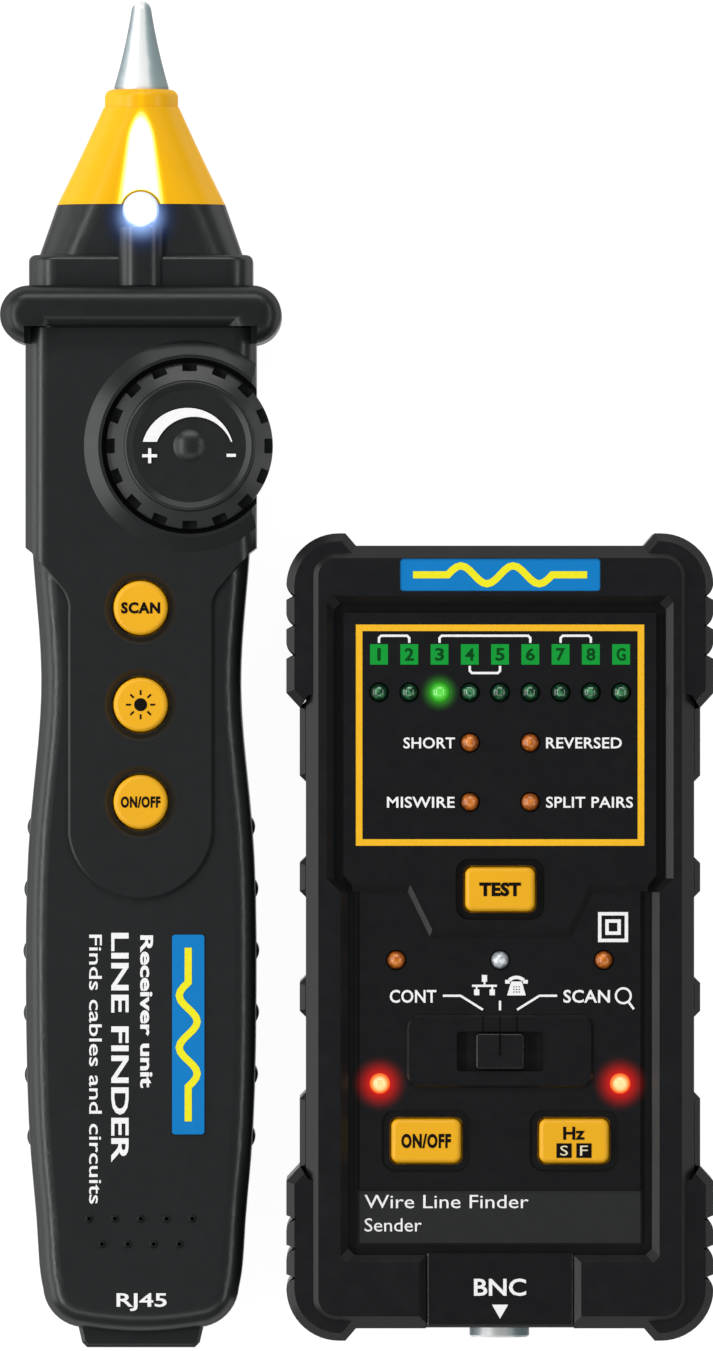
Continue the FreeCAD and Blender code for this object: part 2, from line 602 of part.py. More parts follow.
def probe_tip():
    """Turned metal tip: a cone with a rounded end, and a shank held in the yellow cone."""
    length = RECEIVER_LENGTH - NOSE_TOP_Y
    end_y = RECEIVER_LENGTH
    slope = math.atan2(TIP_BASE_R - TIP_END_R, length - TIP_END_R)
    centre_y = end_y - TIP_END_R
    touch = V(TIP_END_R * math.cos(slope), centre_y + TIP_END_R * math.sin(slope), 0)
    middle = V(TIP_END_R * math.cos(math.radians(50)), centre_y + TIP_END_R * math.sin(math.radians(50)), 0)
    shank_start = 192.5
    edges = [
        Part.makeLine(V(0, shank_start, 0), V(TIP_SHANK_R, shank_start, 0)),
        Part.makeLine(V(TIP_SHANK_R, shank_start, 0), V(TIP_SHANK_R, NOSE_TOP_Y, 0)),
        Part.makeLine(V(TIP_SHANK_R, NOSE_TOP_Y, 0), V(TIP_BASE_R, NOSE_TOP_Y, 0)),
        Part.makeLine(V(TIP_BASE_R, NOSE_TOP_Y, 0), V(TIP_BASE_R, NOSE_TOP_Y + 0.4, 0)),
        Part.Arc(V(TIP_BASE_R, NOSE_TOP_Y + 0.4, 0), V(*TIP_WAIST, 0), touch).toShape(),
        Part.Arc(touch, middle, V(0, end_y, 0)).toShape(),
        Part.makeLine(V(0, end_y, 0), V(0, shank_start, 0)),
    ]
    profile = Part.Face(Part.Wire(edges))
    tip = profile.revolve(V(0, 0, 0), Y_AXIS, 360)
    tip.translate(V(0, 0, NOSE_Z))
    return tip


def tip_contact_spring():
    """Coil spring that joins the tip's shank to the board's end."""
    start_y, end_y, pitch, radius, wire_r = 172.0, 192.1, 2.6, 2.0, 0.3
    helix = Part.makeHelix(pitch, end_y - start_y, radius)
    profile = Part.Wire(Part.makeCircle(wire_r, V(radius, 0, 0), Y_AXIS))
    spring = Part.Wire(helix.Edges).makePipeShell([profile], True, True)
    spring.rotate(V(0, 0, 0), X_AXIS, -90)
    spring.translate(V(0, start_y, NOSE_Z))
    return spring


def lamp_led():
    """Lamp with a ball-shaped lens that stands half out of the nose."""
    tube = rod(LAMP_BODY_R, 0, LAMP_Z, 175.5, LAMP_Y)
    return fuse([tube, Part.makeSphere(LAMP_R, V(0, LAMP_Y, LAMP_Z))])


def sensitivity_knob():
    """Notched thumb wheel with a dished face and a small dome in its middle."""
    wheel = post(KNOB_R, KNOB_X, KNOB_Y, 20.3, KNOB_SIDE_Z)
    band = Part.makeCone(KNOB_R, KNOB_FACE_R, KNOB_BAND_Z - KNOB_SIDE_Z, V(KNOB_X, KNOB_Y, KNOB_SIDE_Z))
    wheel = fuse([wheel, band])
    notch_w, notch_d = 2.35, 1.35
    notches = []
    for index in range(KNOB_NOTCHES):
        notch = box(KNOB_R - notch_d, KNOB_R + 2, -notch_w / 2, notch_w / 2, NOTCH_FLOOR_Z, KNOB_BAND_Z + 1)
        notch.rotate(V(0, 0, 0), Z_AXIS, index * 360.0 / KNOB_NOTCHES)
        notch.translate(V(KNOB_X, KNOB_Y, 0))
        notches.append(notch)
    wheel = cut(wheel, notches)
    face = post(KNOB_FACE_R, KNOB_X, KNOB_Y, KNOB_BAND_Z - 0.5, KNOB_FACE_Z)
    face = face.makeFillet(0.5, edges_at_z(face, KNOB_FACE_Z))
    dish_z, dish_in, dish_out = KNOB_FACE_Z - 0.6, 9.1, 10.0
    dish = Part.makeCone(dish_in, dish_out, KNOB_FACE_Z - dish_z, V(KNOB_X, KNOB_Y, dish_z))
    dome_r, dome_h = 2.63, 0.9
    ball_r = (dome_r ** 2 + dome_h ** 2) / (2 * dome_h)
    ball = Part.makeSphere(ball_r, V(KNOB_X, KNOB_Y, dish_z + dome_h - ball_r))
    dome = ball.common(post(dome_r + 1, KNOB_X, KNOB_Y, dish_z - 0.1, KNOB_FACE_Z + 2))
    knob = fuse([fuse([wheel, face]).cut(dish), dome])
    return knob.cut(post(SHAFT_R, KNOB_X, KNOB_Y, 10, 25.0))


def potentiometer():
    """Thin rotary potentiometer: the body on the board and the shaft that carries the knob."""
    board_top = RX_BOARD_Z + BOARD_T
    body = post(8.0, KNOB_X, KNOB_Y, board_top, 17.9)
    body = body.cut(post(SHAFT_R + RUNNING_GAP, KNOB_X, KNOB_Y, board_top + 0.9, 20))
    shaft = post(SHAFT_R, KNOB_X, KNOB_Y, board_top + 1.0, 25.0)
    return body, shaft


def round_button(y):
    """Yellow cap with a flange that keeps it under the shell."""
    cap = post(RX_BUTTON_R, 0, y, 21.6, RX_BUTTON_TOP_Z)
    cap = cap.makeFillet(0.75, edges_at_z(cap, RX_BUTTON_TOP_Z))
    return fuse([cap, post(5.5, 0, y, 21.6, 22.3)])


def receiver_board():
    board = box(-13.2, 13.2, 82.0, 171.5, RX_BOARD_Z, RX_BOARD_Z + BOARD_T)
    holes = [post(3.5, x, y, RX_BOARD_Z - 1, RX_BOARD_Z + 3) for x, y in RX_SCREWS]
    return cut(board, holes)


def ribbon_cable():
    """Flat cable from the jack, past the battery, to the board's lower edge."""
    thin = 0.8
    outer = [(8.6, 19.0), (14.1, 24.4), (14.5, 78.0), (12.6, 82.0)]
    inner = [(x - thin, y) for x, y in reversed(outer)]
    return polygon(outer + inner, 8.5, 15.5)


def make_receiver(offset):
    front, rear = receiver_shells()
    save("receiver_front_shell", front, offset)
    save("receiver_rear_shell", rear, offset)
    save("receiver_battery_door", receiver_battery_door(), offset)
    save("collar_ring", collar_ring(), offset)
    save("nose_cone", nose_cone(), offset)
    save("probe_tip", probe_tip(), offset)
    save("tip_contact_spring", tip_contact_spring(), offset)
    save("lamp_led", lamp_led(), offset)
    save("sensitivity_knob", sensitivity_knob(), offset)
    pot_body, pot_shaft = potentiometer()
    save("potentiometer_body", pot_body, offset)
    save("potentiometer_shaft", pot_shaft, offset)
    board_top = RX_BOARD_Z + BOARD_T
    for name, y in RX_BUTTON_YS.items():
        save(f"{name}_button", round_button(y), offset)
        save(f"{name}_plunger", post(PLUNGER_R, 0, y, board_top + 1.8, 21.6), offset)
    tacts = [tact_body(0, y, board_top, 3.5) for y in RX_BUTTON_YS.values()]
    save("receiver_switches", Part.makeCompound(tacts), offset)
    save("receiver_circuit_board", receiver_board(), offset)
    jack_z = 5.9
    save("receiver_jack_housing", modular_jack(0, NETWORK_JACK_W, 11.8, 0.9, jack_z, -1), offset)
    save("receiver_jack_contacts", Part.makeCompound(jack_contacts(0, 8, 0.9, jack_z, -1)), offset)
    save("receiver_ribbon_cable", ribbon_cable(), offset)
    save("speaker", post(7.2, 0, 18.85, 19.5, RX_CAVITY_TOP_Z), offset)
    battery_y, battery_z = 27.0, 2.4
    save("receiver_battery", battery_block(0, battery_y, battery_z), offset)
    snap = battery_snap(0, battery_y, battery_z, 8.5, 84.0, RX_BOARD_Z)
    save("receiver_battery_snap", snap, offset)
    screws = [case_screw(x, y, 3.2, 1.8, 18.0) for x, y in RX_SCREWS]
    save("receiver_case_screws", Part.makeCompound(screws), offset)
    length, width, thick = BADGE
    badge = rounded(width, length, 0.5, 7.66, 50.6, GRIP_FRONT_Z, GRIP_FRONT_Z + thick)
    save("receiver_badge", badge, offset)


# ---------------------------------------------------------------- transmitter: the holster
def bumper():
    """Thick corner of the holster, upper right, with three thumb notches in its side."""
    corner_r = 8.5
    end_y = TRANSMITTER_LENGTH
    side_x = BUMPER_HALF
    arc_in = corner_r * (1 - math.sqrt(0.5))
    start, finish = V(side_x, end_y - corner_r, 0), V(side_x - corner_r, end_y, 0)
    points = [
        finish, V(24.9, end_y, 0), V(20.6, 125.0, 0), V(20.6, 124.5, 0), V(27.6, 124.5, 0),
        V(27.6, 104.9, 0), V(30.9, 103.9, 0), V(HOLSTER_HALF + 0.95, 101.9, 0), V(side_x, 104.3, 0), start,
    ]
    edges = [Part.makeLine(a, b) for a, b in zip(points, points[1:])]
    edges.append(Part.Arc(start, V(side_x - arc_in, end_y - arc_in, 0), finish).toShape())
    solid = prism(edges, 0, BUMPER_FRONT_Z)
    outside = lambda c: c.x > HOLSTER_HALF + 1.2 or c.y > HOLSTER_END_Y - 1
    rims = edges_at_z(solid, BUMPER_FRONT_Z, outside) + edges_at_z(solid, 0, outside)
    solid = solid.makeChamfer(BUMPER_BEVEL, rims)
    return cut(solid, [notch(side_x, 119.9 - 4.75 * i) for i in range(3)])


def notch(side_x, y):
    """Thumb notch with a swelling upper side and a short steep lower one, deeper towards the front."""
    return fuse([notch_prism(side_x, y, NOTCH_D, -1), notch_prism(side_x, y, NOTCH_FRONT_D, NOTCH_LEDGE_Z)])


def notch_prism(side_x, y, depth, z0):
    root, upper, lower = V(side_x - depth, y, 0), V(side_x + 0.02, y + 1.95, 0), V(side_x + 0.02, y - 0.6, 0)
    swell = V(side_x - 0.3 * depth, y + 0.85, 0)
    corners = [root, lower, V(side_x + 2, y - 0.6, 0), V(side_x + 2, y + 1.95, 0), upper]
    edges = [Part.makeLine(a, b) for a, b in zip(corners, corners[1:])]
    edges.append(Part.Arc(upper, swell, root).toShape())
    return prism(edges, z0, BUMPER_FRONT_Z + 1)


def side_pad(y0, y1):
    """Shallow pad on the holster's side with sloped ends."""
    points = [(HOLSTER_HALF - 1, y0), (HOLSTER_HALF, y0), (HOLSTER_HALF + 1, y0 + 1.0),
              (HOLSTER_HALF + 1, y1 - 1.0), (HOLSTER_HALF, y1), (HOLSTER_HALF - 1, y1)]
    pad = polygon(points, 2.6, 29.6)
    outer = lambda c: c.x > HOLSTER_HALF + 0.2
    return pad.makeChamfer(0.9, edges_at_z(pad, 2.6, outer) + edges_at_z(pad, 29.6, outer))


def panel_outline(gap):
    """Plan of the two stacked panels: wide above the step, narrow below it, grown by gap."""
    low, step, high = LOWER_START_Y - gap, STEP_Y, UPPER_END_Y + gap
    narrow, wide = LOWER_HALF + gap, UPPER_HALF + gap
    corner = 1.0 if gap else 0.3
    return both_sides([(narrow - corner, low), (narrow, low + corner), (narrow, step - 1.2),
                       (wide, step + 1.05), (wide, high - corner), (wide - corner, high)])


def case_form():
    """The hard case's outer block, without the panels."""
    middle_y = (CASE_START_Y + CASE_END_Y) / 2
    form = rounded(2 * CASE_HALF, CASE_END_Y - CASE_START_Y, 3.5, 0, middle_y, CASE_BACK_Z, CASE_FRONT_Z)
    return form.makeFillet(1.0, edges_at_z(form, CASE_BACK_Z))


def port_cutouts(y0, y1):
    """Openings for the two modular sockets in the transmitter's upper end."""
    low_z = TX_BOARD_Z - JACK_T
    spots = [(NETWORK_JACK_X, NETWORK_JACK_W), (PHONE_JACK_X, PHONE_JACK_W)]
    return [box(x - w / 2 - 0.1, x + w / 2 + 0.1, y0, y1, low_z - 0.1, low_z + JACK_T + 0.1) for x, w in spots]


def protective_holster():
    middle_y = TRANSMITTER_LENGTH / 2
    main = rounded(2 * HOLSTER_HALF, HOLSTER_END_Y - HOLSTER_START_Y, 5.0, 0, middle_y, 0, HOLSTER_FRONT_Z)
    main = main.makeChamfer(HOLSTER_BEVEL, edges_at_z(main, HOLSTER_FRONT_Z))
    main = main.makeFillet(1.8, edges_at_z(main, 0))
    right = [bumper(), side_pad(90.0, 103.0), side_pad(71.4, 77.9)]
    right += [piece.mirror(V(0, middle_y, 0), Y_AXIS) for piece in right]
    left = [mirrored_x(piece) for piece in right]
    form = fuse([main] + right + left)

    window = polygon(panel_outline(WINDOW_GAP), CASE_FRONT_Z - 1, HOLSTER_FRONT_Z + 1)
    bevel_wires = []
    for extra, z in ((0.0, HOLSTER_FRONT_Z - WINDOW_BEVEL), (WINDOW_BEVEL, HOLSTER_FRONT_Z), ):
        corners = [V(x, y, z) for x, y in panel_outline(WINDOW_GAP + extra)]
        bevel_wires.append(Part.makePolygon(corners + corners[:1]))
    bevel = Part.makeLoft(bevel_wires, True, True)
    hood_gap = 0.05
    hood_slot = box(-HOOD_HALF - hood_gap, HOOD_HALF + hood_gap, -2, LOWER_START_Y, 26.0, HOLSTER_FRONT_Z + 1)
    hood_bevel = polygon([(-HOOD_HALF - 1.3, HOLSTER_FRONT_Z + 0.1), (-HOOD_HALF - 0.05, HOOD_FRONT_Z - 0.1),
                          (HOOD_HALF + 0.05, HOOD_FRONT_Z - 0.1), (HOOD_HALF + 1.3, HOLSTER_FRONT_Z + 0.1)], 0, 17.0)
    hood_bevel.rotate(V(0, 0, 0), X_AXIS, 90)
    hood_bevel.translate(V(0, 15.0, 0))
    back_window = rounded(2 * 24.5, 112.0, 4.0, 0, 65.5, -1, 10)
    length, width, thick = BADGE
    badge_pocket = rounded(length, width, 0.5, 0, TX_BADGE_Y, TX_BADGE_Z - thick, HOLSTER_FRONT_Z + 1)
    tools = [case_form(), window, bevel, hood_slot, hood_bevel, back_window, badge_pocket,
             box(-16.6, 16.6, -2, 12, -1, 3.6), rod(BNC_POCKET_R, 0, BNC_Z, -2, 6)]
    return cut(form, tools + port_cutouts(120, 132))


# ---------------------------------------------------------------- transmitter: the case
def led_spots():
    green = [((i - 4) * LED_PITCH, GREEN_Y) for i in range(9)]
    return green + AMBER_SPOTS + RED_SPOTS + CLEAR_SPOTS


def case_shells():
    body = case_form()
    hollow = rounded(2 * (CASE_HALF - WALL), CASE_END_Y - CASE_START_Y - 2 * WALL, 2.0, 0,
                     (CASE_START_Y + CASE_END_Y) / 2, CASE_BACK_Z + WALL, CASE_FRONT_Z - WALL)
    plateau = polygon(panel_outline(0), CASE_FRONT_Z - 0.5, FLOOR_Z)
    plateau = plateau.makeChamfer(0.3, edges_at_z(plateau, FLOOR_Z))
    hood = box(-HOOD_HALF, HOOD_HALF, 2.3, 14.1, 26.0, HOOD_FRONT_Z)
    hood = hood.makeFillet(0.4, [e for e in edges_at_z(hood, HOOD_FRONT_Z) if e.CenterOfMass.y < 13])
    cup = rod(BNC_POCKET_R + 1.5, 0, BNC_Z, CASE_START_Y + 0.5, BNC_POCKET_Y + WALL)
    bosses = [post(3.3, x, y, CASE_BACK_Z + 1, CASE_FRONT_Z - 1) for x, y in TX_SCREWS]
    rails = [box(side * 15.6 - 0.7, side * 15.6 + 0.7, 26.0, 82.0, CASE_BACK_Z + WALL - 0.2, 14.0) for side in (-1, 1)]
    shell = fuse([body.cut(hollow), plateau, hood] + [p.common(body) for p in [cup] + bosses + rails])

    tools = [
        rod(BNC_POCKET_R, 0, BNC_Z, -2, BNC_POCKET_Y),
        rod(4.75, 0, BNC_Z, 10, 20),
        door_prism(-1, 84.0 + DOOR_GAP, CASE_BACK_Z, DOOR_GAP),
        box(-24, 24, 14.5, NAME_STRIP_Y, FLOOR_Z - NAME_STRIP_D, FLOOR_Z + 1).cut(box(-12, 12, 10, 15.2, 20, 40)),
    ]
    for x, y in led_spots():
        tools.append(post(LED_HOLE_R, x, y, 25, 40))
    for x, y in TX_BUTTONS.values():
        tools += button_openings(x, y)
    slot_w, slot_h = SWITCH_SLOT
    tools.append(rounded(slot_w, slot_h, 0.6, 0, SWITCH_Y, 26, 40))
    tools.append(box(-13.2, 13.2, SWITCH_Y - 3.7, SWITCH_Y + 3.7, 26, 29.0))
    for x, y in TX_SCREWS:
        tools.append(post(1.3, x, y, 3, 24.0))
        tools.append(post(2.6, x, y, -1, 6.2))
    shell = cut(shell, tools + port_cutouts(120, 132))
    front = shell.common(box(-40, 40, -10, 140, TX_PART_Z, 50))
    rear = shell.common(box(-40, 40, -10, 140, -10, TX_PART_Z))
    return front, rear


def button_openings(x, y):
    """Hole for a cap, the pocket under the wall for its flange, and the shallow dish round it."""
    width, height = TX_BUTTON_SIZE
    dish_w, dish_h = TX_BUTTON_RECESS
    gap = 0.64
    return [
        rounded(width + gap, height + gap, 1.3, x, y, 25, 40),
        rounded(width + 2.4, height + 2.4, 1.5, x, y, 26, 28.7),
        rounded(dish_w, dish_h, 2.2, x, y, FLOOR_Z - 0.55, FLOOR_Z + 1),
    ]


def indicator_corners(shift_x, shift_y):
    """Plan of the indicator panel, with its lower corners moved in by the given shift."""
    shoulder_y = FUNNEL[0][1]
    lower = [FUNNEL[1], FUNNEL[0]]
    right = [(x + shift_x, y + shift_y) for x, y in lower]
    right += [(LOWER_HALF + 0.9, shoulder_y + shift_y), (UPPER_HALF, shoulder_y + 1.6 + shift_y)]
    return both_sides(right + [(UPPER_HALF, UPPER_END_Y)])


def indicator_panel():
    """Raised plate behind the indicator lamps, funnel-shaped and widely bevelled at its lower end."""
    top_z = FLOOR_Z + PANEL_T
    root_z = FLOOR_Z + 0.1
    wires = []
    for shift, z in (((0, 0), root_z), (FUNNEL_BEVEL, top_z)):
        corners = [V(x, y, z) for x, y in indicator_corners(*shift)]
        wires.append(Part.makePolygon(corners + corners[:1]))
    plate = fuse([polygon(indicator_corners(0, 0), FLOOR_Z, root_z), Part.makeLoft(wires, True, True)])
    x, y = TX_BUTTONS["test"]
    dish_w, dish_h = TX_BUTTON_RECESS
    dish = rounded(dish_w, dish_h, 2.2, x, y, FLOOR_Z - 1, top_z + 1)
    holes = [post(LED_HOLE_R, hx, hy, FLOOR_Z - 1, top_z + 1) for hx, hy in led_spots() if hy > STEP_Y]
    return cut(plate, [dish] + holes)


def switch_plate():
    width, height = SWITCH_PLATE
    top_z = FLOOR_Z + 0.6
    plate = rounded(width, height, 2.2, 0, SWITCH_Y, FLOOR_Z, top_z)
    plate = plate.makeChamfer(0.35, edges_at_z(plate, top_z))
    slot_w, slot_h = SWITCH_SLOT
    line_w, line_d = 0.3, 0.25
    tools = [rounded(slot_w, slot_h, 0.6, 0, SWITCH_Y, FLOOR_Z - 1, top_z + 1)]
    for step in (-1, 0, 1):
        x = step * SWITCH_STEP
        tools.append(box(x - line_w / 2, x + line_w / 2, SWITCH_Y + slot_h / 2 - 0.1, SWITCH_Y + height,
                         top_z - line_d, top_z + 1))
    return cut(plate, tools)


def mode_switch():
    """Sliding cap with its shutter, the actuator it carries, and the switch body on the board."""
    board_top = TX_BOARD_Z + BOARD_T
    width, height = SWITCH_CAP
    cap_top = 31.5
    cap = rounded(width, height, 0.6, 0, SWITCH_Y, 28.2, cap_top)
    cap = cap.makeFillet(0.35, edges_at_z(cap, cap_top))
    shutter = box(-9.8, 9.8, SWITCH_Y - 3.4, SWITCH_Y + 3.4, 28.2, 28.7)
    groove = box(-0.2, 0.2, SWITCH_Y - 0.6, SWITCH_Y + height, cap_top - 0.45, cap_top + 1)
    cap = fuse([cap, shutter]).cut(groove)
    actuator = box(-1.5, 1.5, SWITCH_Y - 1.5, SWITCH_Y + 1.5, board_top + 1.3, 28.2)
    body = box(-9.0, 9.0, SWITCH_Y - 3.4, SWITCH_Y + 3.4, board_top, 27.0)
    gap = 0.35
    reach = 1.5 + SWITCH_STEP + gap
    body = body.cut(box(-reach, reach, SWITCH_Y - 1.5 - gap, SWITCH_Y + 1.5 + gap, board_top + 0.95, 28))
    return cap, actuator, body


def square_button(x, y, top_z):
    width, height = TX_BUTTON_SIZE
    cap = rounded(width, height, 1.2, x, y, 27.6, top_z)
    cap = cap.makeFillet(0.75, edges_at_z(cap, top_z))
    flange = rounded(width + 1.8, height + 1.8, 1.3, x, y, 27.6, 28.4)
    return fuse([cap, flange])


def led(x, y, base_z, dome_start):
    """Small round lamp: flange, straight body and domed top."""
    body = post(LED_R, x, y, base_z, dome_start)
    flange = post(1.9, x, y, base_z, base_z + 0.9)
    return fuse([body, flange, Part.makeSphere(LED_R, V(x, y, dome_start))])


def led_group(spots):
    base_z = TX_BOARD_Z + BOARD_T + 2.2
    lamps = []
    for x, y in spots:
        surface = FLOOR_Z + (PANEL_T if y > STEP_Y else 0)
        lamps.append(led(x, y, base_z, surface - 0.55))
    return Part.makeCompound(lamps)


def led_spacers():
    board_top = TX_BOARD_Z + BOARD_T
    tubes = [post(1.9, x, y, board_top, board_top + 2.2).cut(post(0.8, x, y, board_top - 1, board_top + 3))
             for x, y in led_spots()]
    return Part.makeCompound(tubes)


def bnc_jack():
    """Bayonet socket: metal shell with two studs, insulator, centre contact and fixing nut."""
    front_y = 0.2
    land_l = 3.6
    barrel = rod(BNC_BARREL_R, 0, BNC_Z, front_y, front_y + land_l)
    barrel = barrel.makeChamfer(0.3, [e for e in barrel.Edges if e.BoundBox.YMax < front_y + 1e-3])
    relief = rod(BNC_BARREL_R - 0.25, 0, BNC_Z, front_y + land_l, 11.5)
    flange = rod(7.2, 0, BNC_Z, 11.5, BNC_POCKET_Y)
    thread = rod(4.75, 0, BNC_Z, BNC_POCKET_Y, 21.0)
    studs = Part.makeCylinder(1.0, 11.0, V(-5.5, front_y + land_l + 1.3, BNC_Z), X_AXIS)
    shell = fuse([barrel, relief, flange, thread, studs])
    shell = shell.cut(rod(4.05, 0, BNC_Z, front_y - 1, 10.0)).cut(rod(2.4, 0, BNC_Z, 9, 22))
    insulator = rod(2.4, 0, BNC_Z, front_y + 1.6, 22.0)
    insulator = insulator.cut(rod(1.1, 0, BNC_Z, front_y, 24))
    contact = rod(1.1, 0, BNC_Z, front_y + 2.0, 24.0).cut(rod(0.5, 0, BNC_Z, front_y, 9.0))
    hexagon = [V(6.6 * math.cos(math.radians(60 * k)), 0, BNC_Z + 6.6 * math.sin(math.radians(60 * k)))
               for k in range(6)]
    nut = Part.Face(Part.makePolygon(hexagon + hexagon[:1])).extrude(V(0, 2.4, 0))
    nut.translate(V(0, BNC_POCKET_Y + WALL, 0))
    nut = nut.cut(rod(4.75, 0, BNC_Z, 10, 30))
    return shell, insulator, contact, nut


def transmitter_board():
    board = box(-26.4, 26.4, 24.5, 123.4, TX_BOARD_Z, TX_BOARD_Z + BOARD_T)
    holes = [post(3.5, x, y, TX_BOARD_Z - 1, TX_BOARD_Z + 3) for x, y in TX_SCREWS]
    return cut(board, holes)


def transmitter_battery_door():
    door = door_prism(CASE_START_Y, 84.0, CASE_BACK_Z, 0)
    return cut(door, door_grip(10.0, CASE_BACK_Z))


def make_transmitter(offset):
    save("protective_holster", protective_holster(), offset)
    front, rear = case_shells()
    save("transmitter_front_case", front, offset)
    save("transmitter_rear_case", rear, offset)
    save("transmitter_battery_door", transmitter_battery_door(), offset)
    save("indicator_panel", indicator_panel(), offset)
    save("switch_plate", switch_plate(), offset)
    cap, actuator, body = mode_switch()
    save("mode_switch_cap", cap, offset)
    save("mode_switch_actuator", actuator, offset)
    save("mode_switch_body", body, offset)
    board_top = TX_BOARD_Z + BOARD_T
    for name, (x, y) in TX_BUTTONS.items():
        top_z = TEST_BUTTON_TOP_Z if name == "test" else TX_BUTTON_TOP_Z
        save(f"{name}_button", square_button(x, y, top_z), offset)
        save(f"{name}_plunger", post(PLUNGER_R, x, y, board_top + 1.8, 27.6), offset)
    tacts = [tact_body(x, y, board_top, 3.4) for x, y in TX_BUTTONS.values()]
    save("transmitter_switches", Part.makeCompound(tacts), offset)
    green = [spot for spot in led_spots() if spot[1] == GREEN_Y]
    save("green_leds", led_group(green), offset)
    save("amber_leds", led_group(AMBER_SPOTS), offset)
    save("red_leds", led_group(RED_SPOTS), offset)
    save("clear_led", led_group(CLEAR_SPOTS), offset)
    save("led_spacers", led_spacers(), offset)
    save("transmitter_circuit_board", transmitter_board(), offset)
    for name, piece in zip(("bnc_shell", "bnc_insulator", "bnc_centre_contact", "bnc_nut"), bnc_jack()):
        save(name, piece, offset)
    jack_z = TX_BOARD_Z - JACK_T
    face_y = 127.0
    housings = [modular_jack(NETWORK_JACK_X, NETWORK_JACK_W, 11.8, face_y, jack_z, 1),
                modular_jack(PHONE_JACK_X, PHONE_JACK_W, 9.7, face_y, jack_z, 1)]
    save("line_jack_housings", Part.makeCompound(housings), offset)
    wires = jack_contacts(NETWORK_JACK_X, 8, face_y, jack_z, 1) + jack_contacts(PHONE_JACK_X, 6, face_y, jack_z, 1)
    save("line_jack_contacts", Part.makeCompound(wires), offset)
    save("buzzer", post(6.0, -19.5, 92.0, TX_BOARD_Z - 7.0, TX_BOARD_Z), offset)
    battery_y, battery_z = 30.0, CASE_BACK_Z + DOOR_T + 0.3
    save("transmitter_battery", battery_block(0, battery_y, battery_z), offset)
    snap = battery_snap(0, battery_y, battery_z, 17.0, 92.0, TX_BOARD_Z)
    save("transmitter_battery_snap", snap, offset)
    screws = [case_screw(x, y, 4.4, 1.8, 23.0) for x, y in TX_SCREWS]
    save("transmitter_case_screws", Part.makeCompound(screws), offset)
    length, width, thick = BADGE
    badge = rounded(length, width, 0.5, 0, TX_BADGE_Y, TX_BADGE_Z - thick, TX_BADGE_Z)
    save("transmitter_badge", badge, offset)


# ---------------------------------------------------------------- the set
def main():
    os.makedirs("parts", exist_ok=True)
    receiver_at = V(-SET_WIDTH / 2 + COLLAR_HALF, -RECEIVER_LENGTH / 2, 0)
    transmitter_at = V(SET_WIDTH / 2 - BUMPER_HALF, -RECEIVER_LENGTH / 2 + TRANSMITTER_ABOVE_RECEIVER_END, 0)
    make_receiver(receiver_at)
    make_transmitter(transmitter_at)


main()
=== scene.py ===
import bpy
import bmesh
import math
from mathutils import Matrix, Vector


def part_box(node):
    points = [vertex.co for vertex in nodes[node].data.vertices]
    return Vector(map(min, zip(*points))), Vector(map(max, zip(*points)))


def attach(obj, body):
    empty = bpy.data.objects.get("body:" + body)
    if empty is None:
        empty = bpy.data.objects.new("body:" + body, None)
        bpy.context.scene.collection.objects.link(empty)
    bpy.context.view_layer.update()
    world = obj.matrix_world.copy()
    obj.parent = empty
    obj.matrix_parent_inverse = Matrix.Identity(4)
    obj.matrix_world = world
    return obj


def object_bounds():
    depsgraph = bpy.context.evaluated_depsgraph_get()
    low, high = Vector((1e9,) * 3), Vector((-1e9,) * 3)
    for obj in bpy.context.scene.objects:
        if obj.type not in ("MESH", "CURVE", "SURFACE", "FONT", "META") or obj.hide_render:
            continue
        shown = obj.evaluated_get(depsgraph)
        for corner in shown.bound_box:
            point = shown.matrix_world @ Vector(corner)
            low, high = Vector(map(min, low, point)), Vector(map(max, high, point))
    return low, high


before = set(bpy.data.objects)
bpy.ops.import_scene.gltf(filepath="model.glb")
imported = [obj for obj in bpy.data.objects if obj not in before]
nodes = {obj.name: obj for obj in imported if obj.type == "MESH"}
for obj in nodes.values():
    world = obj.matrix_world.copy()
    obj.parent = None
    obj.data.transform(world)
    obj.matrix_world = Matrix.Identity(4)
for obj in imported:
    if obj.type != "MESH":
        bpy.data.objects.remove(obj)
cad_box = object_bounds()

MM = 0.001
INK = 0.03 * MM              # thickness of a printed mark
LIFT = 0.02 * MM             # how far a mark stands above the surface it is printed on
CAPITAL = 0.729              # height of a capital letter in the built-in font of size 1


# ---------------------------------------------------------------- places, worked out from the frame
def middle(node):
    """Centre of a node's box, seen from above, as an (x, y) pair."""
    low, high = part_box(node)
    return ((low[0] + high[0]) / 2, (low[1] + high[1]) / 2)


def top(node):
    """Height of a node's highest point."""
    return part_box(node)[1][2]


RX_X = middle("probe_tip")[0]
RX_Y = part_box("receiver_front_shell")[0][1]
TX_X = middle("protective_holster")[0]
TX_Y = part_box("protective_holster")[0][1]
GRIP_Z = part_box("receiver_badge")[0][2]
PANEL_Z = top("indicator_panel")
CASE_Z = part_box("indicator_panel")[0][2]     # front face of the transmitter's case
HOOD_Z = CASE_Z + 0.9 * MM                   # top of the hood over the lower socket
STRIP_Z = CASE_Z - 0.35 * MM                 # bottom of the name strip's recess


def rx(x, y):
    """An (x, y) pair in metres, from millimetres on the receiver's centre line and lower end."""
    return (RX_X + x * MM, RX_Y + y * MM)


def tx(x, y):
    """The same for the transmitter."""
    return (TX_X + x * MM, TX_Y + y * MM)


